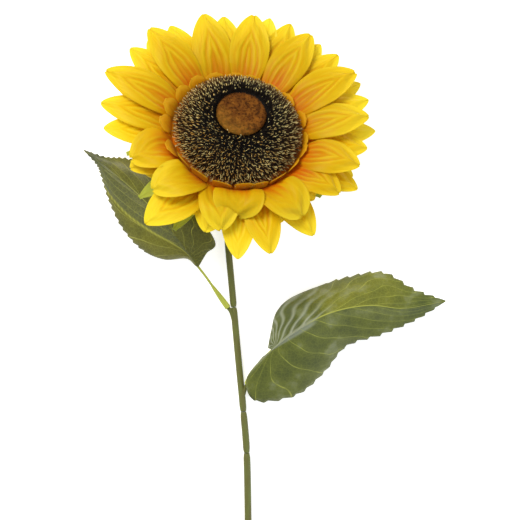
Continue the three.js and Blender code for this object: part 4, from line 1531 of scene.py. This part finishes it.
RIGHT_LEAF = {
    "bulge": 4,
    "corrugation": [0.5, 5.0],
    "veins": 10,
    "sweep": 0.36,
    "sway": 0.3,
    "teeth": 24,
    "tooth_depth": 2.4,
    "smooth_until": [0.22, 0.52],
    "yellow": [0.42, 0.72, 0.5],
    # Grey gloss painted on as a highlight: how far it reaches beside the midrib, and how much on the
    # crests and round the base
    "painted_gloss": {
        "near": 0.08,
        "opening": 0.0,
        "far": 0.07,
        "until": 0.42,
        "beside": 0.9,
        "crests": 1.1,
        "base": 0.6,
    },
    "printed": [0.7, 0.8, 0.5],
    "stations": [
        [[20.8, -184.6, 24], [29, -178.4, 29], [25.6, -177, 24]],
        [[7.4, -204.4, 15.5], [32.4, -175.6, 31], [28.4, -162.8, 17]],
        [[15.6, -222.4, 9], [41.5, -168, 34], [32.6, -147.8, 11]],
        [[49.4, -217.6, 7], [55, -158.8, 35.5], [44.2, -135.9, 8]],
        [[73, -198.2, 9], [71, -149.6, 35], [67.8, -125.8, 7]],
        [[91.6, -176, 13], [90.4, -143.7, 32], [94.8, -117.4, 7]],
        [[122, -165.8, 14], [113, -141.3, 27], [123.4, -114, 9]],
        [[150.6, -153.6, 11], [140.1, -143.9, 19], [149.6, -128.4, 11]],
        [[175.6, -138.6, 8], [175.8, -138.2, 8], [175.9, -137.6, 8]],
    ],
}
LEFT_STALK = [[-8.2, -143.6, 8.8], [-13.6, -136, 10.2], [-19.9, -127.2, 11.8], [-27.2, -116.8, 13.4]]
RIGHT_STALK = [[8.2, -208, 9.2], [11, -201.6, 11.8], [15.8, -193.4, 16], [21.6, -186, 20.6]]
SIDES = {"edge": 0, "midrib": 1, "other edge": 2}


def leaf_line(leaf, side, t):
    """Points at shares t along a leaf's midrib or one of its edges."""
    return spline([row[SIDES[side]] for row in leaf["stations"]], t)


for name, leaf in (("Left", LEFT_LEAF), ("Right", RIGHT_LEAF)):
    ends = leaf_line(leaf, "midrib", np.array([0.0, 1.0]))
    print(name, "leaf:", round(float(np.linalg.norm(ends[1] - ends[0]))), "mm from base to tip")

# %% Leaf stalks
RIB_SHARES = [0.06, 0.16, 0.28, 0.4, 0.52, 0.64]
RIB_DROP = 1.15
RIB_CLEARANCE = 0.5
RIB_RADIUS = 1.1
SOCKET_RADIUS = 2.5
SOCKET_LENGTH = 24
SOCKET_DEPTH = 7
STALK_POINTS = 90


def stalk_path(leaf, stalk):
    """A leaf stalk's points and half widths, and the function that gives points along its socket."""
    rib = leaf_line(leaf, "midrib", np.array(RIB_SHARES)) - [0, 0, RIB_DROP + RIB_CLEARANCE]
    shares = np.linspace(0, 1, STALK_POINTS)
    points, length = even_path(stalk + rib.tolist(), shares)
    into_socket = np.clip(shares * length / SOCKET_LENGTH, 0, 1)
    slim = RIB_RADIUS * (1 - 0.35 * shares)
    widths = slim + (SOCKET_RADIUS - RIB_RADIUS) * (1 - into_socket**2)
    entry, _ = even_path(stalk + rib.tolist(), [0, SOCKET_DEPTH / length])
    direction = (entry[1] - entry[0]) / np.linalg.norm(entry[1] - entry[0])
    return (points, widths), lambda reach: entry[0] + reach * direction


left_stalk, along_left_socket = stalk_path(LEFT_LEAF, LEFT_STALK)
right_stalk, along_right_socket = stalk_path(RIGHT_LEAF, RIGHT_STALK)
for name, stalk in (("leaf_left_petiole", left_stalk), ("leaf_right_petiole", right_stalk)):
    piece = path_piece(name + "_moulded", [stalk])
    run_tree(piece, sweep, {"Plastic": petiole_plastic})
    bake(piece)
    settle(piece, "petiole", name)

# %% [markdown]
# Where one stem tube ends and the next begins, both taper over 5 mm like the knuckles of a cane, and a
# thin dark gap stays between them. The tubes are open and 0.9 mm thick, so the cut end shows the wire
# inside. The wire itself is the CAD solid with a better finish.

# %% Stem tubes
STEM_RADIUS_AT_NECK = 2.7
STEM_RADIUS_AT_CUT = 3.1
KNUCKLE_LENGTH = 5
KNUCKLE_TAPER = 0.2
JOINT_GAP = 0.4
TUBE_WALL = 0.9
TUBE_POINTS = 60
LEFT_PEG_ROOT = [-1.9, -159, 6.2]
RIGHT_PEG_ROOT = [3.4, -222, 5.6]
PEG_RADIUS = 2.0
PEG_TAPER = 0.2
PEG_RUN_UP = 5
FIT_GAP = 0.35
JOINTS_AT_Y = [-143.5, -232, -267]


def stem_share(y):
    """How far along the stem it passes this y of the drawing, from 0 at the neck to 1 at the cut."""
    return float(np.interp(-y, -stem_points[:, 1], np.linspace(0, 1, len(stem_points))))


def tube_path(start, end):
    """Points and half widths of the stem tube between two shares of the stem."""
    evenly = start + (end - start) * np.linspace(0, 1, TUBE_POINTS)
    closely = np.linspace(0, KNUCKLE_LENGTH + 1, 8) / stem_length
    shares = np.unique(np.concatenate([evenly, start + closely, end - closely]))
    points, _ = even_path(STEM_ROUTE, shares)
    full = STEM_RADIUS_AT_NECK + (STEM_RADIUS_AT_CUT - STEM_RADIUS_AT_NECK) * shares
    from_end = np.minimum(shares - start, end - shares) * stem_length / KNUCKLE_LENGTH
    rounded = np.sin(np.pi / 2 * np.clip(from_end, 0, 1))
    return points, full * (1 - KNUCKLE_TAPER * (1 - rounded))


def peg_path(root, along_socket):
    """The short branch that carries a peg out of the stem, up to the mouth of its socket."""
    shares = np.linspace(0, 1, 16)
    points, _ = even_path([root, along_socket(-PEG_RUN_UP), along_socket(-FIT_GAP)], shares)
    return points, PEG_RADIUS * (1 - PEG_TAPER * shares)


gap = JOINT_GAP / stem_length
neck_end, fork_end, middle_end = (stem_share(y) for y in JOINTS_AT_Y)
pegs = [peg_path(LEFT_PEG_ROOT, along_left_socket), peg_path(RIGHT_PEG_ROOT, along_right_socket)]
tubes = {
    "stem_sleeve_neck": [tube_path(0, neck_end - gap)],
    "stem_sleeve_fork": [tube_path(neck_end, fork_end - gap), *pegs],
    "stem_sleeve_middle": [tube_path(fork_end, middle_end - gap)],
    "stem_sleeve_lower": [tube_path(middle_end, 1)],
}
for name, paths in tubes.items():
    piece = path_piece(name + "_moulded", paths)
    run_tree(piece, sweep, {"Plastic": stem_plastic, "Closed ends": False})
    thicken(piece, TUBE_WALL * MM, offset=-1)
    bake(piece)
    settle(piece, "stem", name)

# %% [markdown]
# The wire is drawn steel with a zinc coat: dull grey, with fine lines along its length. Its CAD solid is
# right, so only its material changes.

# %% Wire
DRAWN_LINES = (9000, 300, 9000)

galvanised, tree = new_material("Galvanised steel, drawn")
place = add(tree, "ShaderNodeTexCoord", output="Object")
drawn = add(tree, "ShaderNodeVectorMath", {0: place, 1: DRAWN_LINES}, operation="MULTIPLY")
lines = add(tree, "ShaderNodeTexNoise", {"Vector": drawn, "Scale": 1.0, "Detail": 2.0})
dull = add(tree, "ShaderNodeMapRange", {"Value": lines, "To Min": 0.35, "To Max": 0.6})
zinc = add(
    tree,
    "ShaderNodeBsdfPrincipled",
    {"Base Color": "#a3a6a8", "Metallic": 1.0, "Roughness": dull},
)
finish_material(tree, zinc)
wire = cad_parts["stem_wire"]
wire.data.materials.clear()
wire.data.materials.append(galvanised)
print("Wire faces:", len(wire.data.polygons))

# %% [markdown]
# ## Leaves
#
# A leaf is printed and pressed polyester cloth with a waxy coat. Its midrib stands up like a ridge and
# both halves fall away from it. A fan of veins leaves the foot of the midrib for the broad end of the
# leaf, and from there on the side veins sweep forward. Along a vein the cloth stands up, and the edge is
# cut into teeth.
#
# Each point keeps `phase`, which counts the veins: where it passes a half, a vein runs. The relief and
# the printed veins both come from it, so they always meet. Other marks say how yellow the print is, how
# much grey gloss is painted on as a highlight, how clear the printed veins are and where one long vein
# runs.

# %% Leaf shape
LEAF_ROWS = 290
LEAF_COLUMNS = 61
FAN_ORIGIN = 0.1
FAN_WIDTH = 0.25
FAN_STEP = 0.3
CREST_SHARPNESS = 2.6
LONG_VEIN_HALF_WIDTH = 0.025
TOOTH_CUT = 0.78
LEAF_THICKNESS = 0.4
MIDRIB_HEIGHT = 1.3
MIDRIB_HALF_WIDTH = 1.3


def smooth_step(low, high, value):
    """0 below the lower value, 1 above the higher one, and smooth between them."""
    share = np.clip((value - low) / (high - low), 0, 1)
    return share**2 * (3 - 2 * share)


def tooth(t, s, leaf):
    """How far the edge stands out at t, from -0.5 in a notch to 0.5 at the point of a tooth."""
    place = (t * leaf["teeth"]) % 1
    outline = np.where(place < TOOTH_CUT, place / TOOTH_CUT, (1 - place) / (1 - TOOTH_CUT)) - 0.5
    smooth_until = np.where(s < 0, *leaf["smooth_until"])
    fading = np.clip((t - smooth_until) / 0.05, 0, 1) * np.clip((0.985 - t) / 0.05, 0, 1)
    return outline * fading


def vein_phase(leaf, t, s):
    """Counts the veins. Beyond the fan they run forwards, and inside it they spread from one point."""
    outward = np.abs(s) ** 0.9
    side_veins = leaf["veins"] * (t - leaf["sweep"] * outward)
    turn = np.arctan2(t - FAN_ORIGIN, FAN_WIDTH * outward) - math.atan2(leaf["sweep"], FAN_WIDTH)
    fan_veins = leaf["veins"] * FAN_ORIGIN + turn / FAN_STEP
    even = np.where(t - FAN_ORIGIN > leaf["sweep"] * outward, side_veins, fan_veins)
    sway = leaf["sway"] * np.sin(11 * outward + 17 * t + 2 * (s < 0))
    return even + sway * outward * np.where(s < 0, 0.25, 1)


def vein_crest(leaf, t, s):
    """How high the pressed cloth stands, from 0 between two veins to 1 on a vein."""
    return (0.5 - 0.5 * np.cos(2 * np.pi * vein_phase(leaf, t, s))) ** CREST_SHARPNESS


def leaf_points(leaf, t, s):
    """Points of a leaf on the drawing. t runs from base to tip and s from edge to edge, -1 to 1."""
    middle = leaf_line(leaf, "midrib", t)
    edge = np.where((s < 0)[..., None], leaf_line(leaf, "edge", t), leaf_line(leaf, "other edge", t))
    width = np.linalg.norm(edge - middle, axis=-1)
    toothed = leaf["tooth_depth"] * tooth(t, s, leaf) / np.maximum(width, 3)
    share = np.abs(s) * (1 + toothed * np.abs(s) ** 8)
    arch = 4 * share * (1 - share) * np.sin(np.pi * np.minimum(1, t + 0.05))
    near_side, far_side = leaf["corrugation"]
    strength = np.where(s < 0, near_side, far_side * (1 - 0.7 * smooth_step(0.4, 0.6, t)))
    vein = strength * (vein_crest(leaf, t, s) - 0.35) * share**0.7 * (1.3 - share) * np.sin(np.pi * t)
    near_midrib = np.exp(-((share * width / MIDRIB_HALF_WIDTH) ** 2))
    ridge = MIDRIB_HEIGHT * (1 - 0.7 * smooth_step(0.3, 0.5, t)) * near_midrib
    points = middle + (edge - middle) * share[..., None]
    points[..., 2] += leaf["bulge"] * arch + vein + ridge * np.sin(np.pi * t) ** 0.3
    return points


def yellow_share(leaf, t, s):
    """How yellow the print is. The far side may start some way up the leaf, and the tip is greener."""
    near_side, far_side, start = leaf["yellow"]
    begun = smooth_step(start - 0.15, start + 0.1, t + 0.1 * s)
    return np.where(s < 0, near_side, far_side * begun) * smooth_step(1.0, 0.78, t)


def painted_gloss_edge(leaf, t, s):
    """How far from the midrib the painted grey gloss reaches. On one leaf it opens out towards the tip."""
    opened = leaf["painted_gloss"]["opening"] * np.clip((t - 0.2) / 0.5, 0, 1) ** 1.3
    return np.where(s < 0, leaf["painted_gloss"]["near"] + opened, leaf["painted_gloss"]["far"])


def painted_gloss_share(leaf, t, s):
    """How strongly grey gloss is painted on as a highlight: beside the midrib, on the pressed crests, and
    round the base.
    """
    painted_gloss = leaf["painted_gloss"]
    edge = painted_gloss_edge(leaf, t, s)
    until = painted_gloss["until"]
    beside = smooth_step(edge + 0.02, edge - 0.03, np.abs(s)) * smooth_step(until + 0.06, until, t)
    crests = painted_gloss["crests"] * vein_crest(leaf, t, s) ** 1.6 * (s > 0) * smooth_step(0.6, 0.4, t)
    base = painted_gloss["base"] * smooth_step(0.14, 0.02, t) * (s < 0)
    return np.clip(painted_gloss["beside"] * beside + crests + base, 0, 1)


def printed_share(leaf, t, s):
    """How clear the printed veins are. On the far side they may start some way up the leaf."""
    near_side, far_side, start = leaf["printed"]
    return np.where(s < 0, near_side, far_side * smooth_step(start - 0.1, start + 0.05, t))


def long_vein(leaf, t, s):
    """The long vein along the edge of the painted grey gloss, where that opens out towards the tip."""
    from_edge = (np.abs(s) - painted_gloss_edge(leaf, t, s)) / LONG_VEIN_HALF_WIDTH
    return leaf["painted_gloss"]["opening"] * (s < 0) * np.exp(-(from_edge**2))


LEAF_MARKS = {
    "phase": vein_phase,
    "yellow": yellow_share,
    "painted_gloss": painted_gloss_share,
    "printed": printed_share,
    "long_vein": long_vein,
}


def leaf_piece(name, leaf, cloth):
    """One leaf as a sheet of coated cloth, with its points closest together at the midrib."""
    t, x = np.meshgrid(np.linspace(0, 1, LEAF_ROWS), np.linspace(-1, 1, LEAF_COLUMNS), indexing="ij")
    s = np.sign(x) * np.abs(x) ** 1.5
    worked_out = {mark: [work_out(leaf, t, s)] for mark, work_out in LEAF_MARKS.items()}
    marks = {"along": [t], "across": [s], **worked_out}
    piece = piece_from_grids(name + "_cloth", [on_table(leaf_points(leaf, t, s))], marks)
    piece.data.materials.append(cloth)
    thicken(piece, LEAF_THICKNESS * MM)
    bake(piece)
    settle(piece, "leaf", name)


print("Points in a leaf:", LEAF_ROWS * LEAF_COLUMNS)

# %% [markdown]
# Thin light veins are printed on a leaf, and worn away in places. The side veins are about 0.5 mm wide.
# They run where the cosine of the phase is lowest. A net of small veins lies between them, hardly lighter
# than the ground. It is drawn with a Voronoi pattern of 3.2 mm cells, whose borders look like leaf veins
# once a noise has bent them.

# %% Printed veins
WORN_PATCH = 7
NET_CELL = 3.2
NET_BEND = 2.0
NET_BEND_LENGTH = 5


def main_veins(tree, marks, place, wave):
    """How strongly the side veins, the midrib and the long vein are printed."""
    near_crest = add(tree, "ShaderNodeMapRange", {"Value": wave, "From Min": -0.988, "From Max": -0.999})
    worn_places = {"Vector": place, "Scale": 1 / (WORN_PATCH * MM), "Detail": 1.0}
    worn = add(tree, "ShaderNodeTexNoise", worn_places)
    wear = {"Value": worn, "From Min": 0.36, "From Max": 0.58, "To Min": 0.45}
    kept = add(tree, "ShaderNodeMapRange", wear)
    kept_print = add(tree, "ShaderNodeMath", {0: marks["printed"], 1: kept}, operation="MULTIPLY")
    side_vein = add(tree, "ShaderNodeMath", {0: near_crest, 1: kept_print}, operation="MULTIPLY")
    # The midrib runs where the leaf's own middle is near, and its print starts some way up the leaf
    from_middle = add(tree, "ShaderNodeMath", {0: marks["across"]}, operation="ABSOLUTE")
    middle = {"Value": from_middle, "From Min": 0.018, "From Max": 0.006}
    near_middle = add(tree, "ShaderNodeMapRange", middle)
    start = {"Value": marks["along"], "From Min": 0.38, "From Max": 0.5, "To Max": 0.8}
    begun = add(tree, "ShaderNodeMapRange", start)
    midrib = add(tree, "ShaderNodeMath", {0: near_middle, 1: begun}, operation="MULTIPLY")
    branches = add(tree, "ShaderNodeMath", {0: side_vein, 1: midrib}, operation="MAXIMUM")
    return add(tree, "ShaderNodeMath", {0: branches, 1: marks["long_vein"]}, operation="MAXIMUM")


def vein_net(tree, marks, place):
    """How strongly the net of small veins is printed: more where the leaf is yellow."""
    coarse = {"Vector": place, "Scale": 1 / (NET_BEND_LENGTH * MM), "Detail": 2.0}
    bend = add(tree, "ShaderNodeTexNoise", coarse, output="Color")
    bent = add(tree, "ShaderNodeVectorMath", {0: bend, "Scale": NET_BEND * MM}, operation="SCALE")
    moved = add(tree, "ShaderNodeVectorMath", {0: place, 1: bent}, operation="ADD")
    cells = {"Vector": moved, "Scale": 1 / (NET_CELL * MM)}
    border = add(tree, "ShaderNodeTexVoronoi", cells, feature="DISTANCE_TO_EDGE")
    near_border = add(tree, "ShaderNodeMapRange", {"Value": border, "From Min": 0.09, "From Max": 0.0})
    strength = {0: marks["yellow"], 1: 0.2, 2: 0.03}
    net_share = add(tree, "ShaderNodeMath", strength, operation="MULTIPLY_ADD")
    return add(tree, "ShaderNodeMath", {0: near_border, 1: net_share}, operation="MULTIPLY")


print("Cells of the net:", NET_CELL, "mm")

# %% [markdown]
# Under the veins the print is grey olive green. It is mottled in patches and in small specks, painted
# lighter beside the veins as a highlight where the pressed cloth stands up, and yellower where the mark
# `yellow` says so. The coat is thin wax and gives a soft gloss. Grey is painted over the print as a
# highlight beside the midrib, on the pressed crests, round the base and in a few patches.

# %% Leaf cloth
CLOUD = 16
LEAF_TRANSLUCENCY = 0.12


def leaf_ground(tree, marks, clouds, wave, green, mottle_and_crest_lit_green, yellow_green):
    """The colour of the print under the veins, painted lighter towards the veins as a highlight on the
    pressed crests.
    """
    blotches = {"Value": clouds, "From Min": 0.38, "From Max": 0.66, "To Max": 0.7}
    mottle = add(tree, "ShaderNodeMapRange", blotches)
    # Painted highlight: lighter towards the veins, where the pressed cloth stands up, and darker in the
    # troughs
    flank = {"Value": wave, "From Min": 0.4, "From Max": -1.0, "To Max": 0.3}
    beside = add(tree, "ShaderNodeMapRange", flank)
    light = add(tree, "ShaderNodeMath", {0: mottle, 1: beside}, operation="ADD", use_clamp=True)
    uneven = add(tree, "ShaderNodeMath", {0: clouds, 1: 1.4, 2: -0.7}, operation="MULTIPLY_ADD")
    yellow = marks["yellow"]
    sunny = add(tree, "ShaderNodeMath", {0: yellow, 1: uneven}, operation="ADD", use_clamp=True)
    sunned = add(tree, "ShaderNodeMath", {0: sunny, 1: yellow}, operation="MULTIPLY", use_clamp=True)
    shaded = {"Factor": light, "A": green, "B": mottle_and_crest_lit_green}
    olive = add(tree, "ShaderNodeMix", shaded, data_type="RGBA")
    return add(tree, "ShaderNodeMix", {"Factor": sunned, "A": olive, "B": yellow_green}, data_type="RGBA")


def painted_grey_gloss(tree, marks, clouds):
    """How strongly grey gloss is painted on as a highlight: in the marked places and in a few patches."""
    patch = {"Value": clouds, "From Min": 0.54, "From Max": 0.7, "To Max": 0.35}
    patches = add(tree, "ShaderNodeMapRange", patch)
    # The marked places and the patches of painted grey gloss together
    wax = {0: marks["painted_gloss"], 1: 0.75, 2: patches}
    return add(tree, "ShaderNodeMath", wax, operation="MULTIPLY_ADD", use_clamp=True)


def leaf_cloth(name, green, mottle_and_crest_lit_green, yellow_green, grey, vein_colour):
    """Printed polyester cloth with a wax coat and painted grey gloss, and veins that follow the leaf's own
    phase.
    """
    material, tree = new_material(name)
    marks = {
        mark: add(tree, "ShaderNodeAttribute", output="Fac", attribute_name=mark)
        for mark in ("along", "across", *LEAF_MARKS)
    }
    place = add(tree, "ShaderNodeTexCoord", output="Object")
    turn = add(tree, "ShaderNodeMath", {0: marks["phase"], 1: 2 * math.pi}, operation="MULTIPLY")
    wave = add(tree, "ShaderNodeMath", {0: turn}, operation="COSINE")
    clouds = add(tree, "ShaderNodeTexNoise", {"Vector": place, "Scale": 1 / (CLOUD * MM), "Detail": 6.0})
    main = main_veins(tree, marks, place, wave)
    net = vein_net(tree, marks, place)
    veins = add(tree, "ShaderNodeMath", {0: main, 1: net}, operation="MAXIMUM")
    dyed = leaf_ground(tree, marks, clouds, wave, green, mottle_and_crest_lit_green, yellow_green)
    # Grey gloss painted over the print as a highlight
    wax = {"Factor": painted_grey_gloss(tree, marks, clouds), "A": dyed, "B": grey}
    ground = add(tree, "ShaderNodeMix", wax, data_type="RGBA")
    print_over = {"Factor": veins, "A": ground, "B": vein_colour}
    printed = add(tree, "ShaderNodeMix", print_over, data_type="RGBA")
    # Main veins and the net are pressed in
    pressed = add(tree, "ShaderNodeMath", {0: veins, 1: -1.0, 2: 1.0}, operation="MULTIPLY_ADD")
    relief = add(tree, "ShaderNodeBump", {"Strength": 0.5, "Distance": 0.4 * MM, "Height": pressed})
    surface = add(
        tree,
        "ShaderNodeBsdfPrincipled",
        {
            "Base Color": printed,
            "Roughness": 0.48,
            "Specular IOR Level": 0.35,
            "Coat Weight": 0.18,
            "Coat Roughness": 0.3,
            "Normal": relief,
        },
    )
    through = add(tree, "ShaderNodeBsdfTranslucent", {"Color": printed, "Normal": relief})
    finish_material(tree, add(tree, "ShaderNodeMixShader", {0: LEAF_TRANSLUCENCY, 1: surface, 2: through}))
    return material


# The fourth colour of each leaf is the grey of its painted gloss
left_cloth = leaf_cloth(
    "Printed polyester with a wax coat, darker", "#384117", "#4c5620", "#737016", "#545c3e", "#b0b044"
)
right_cloth = leaf_cloth(
    "Printed polyester with a wax coat, lighter", "#4b561f", "#67722b", "#82831c", "#989f88", "#b4b848"
)
leaf_piece("leaf_left_blade", LEFT_LEAF, left_cloth)
leaf_piece("leaf_right_blade", RIGHT_LEAF, right_cloth)

# %% Finish
visual_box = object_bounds()
grown = np.ptp(visual_box, axis=0) - np.ptp(cad_box, axis=0)
print("The flower is larger than the CAD model by, in mm:", (grown / MM).round(1).tolist())
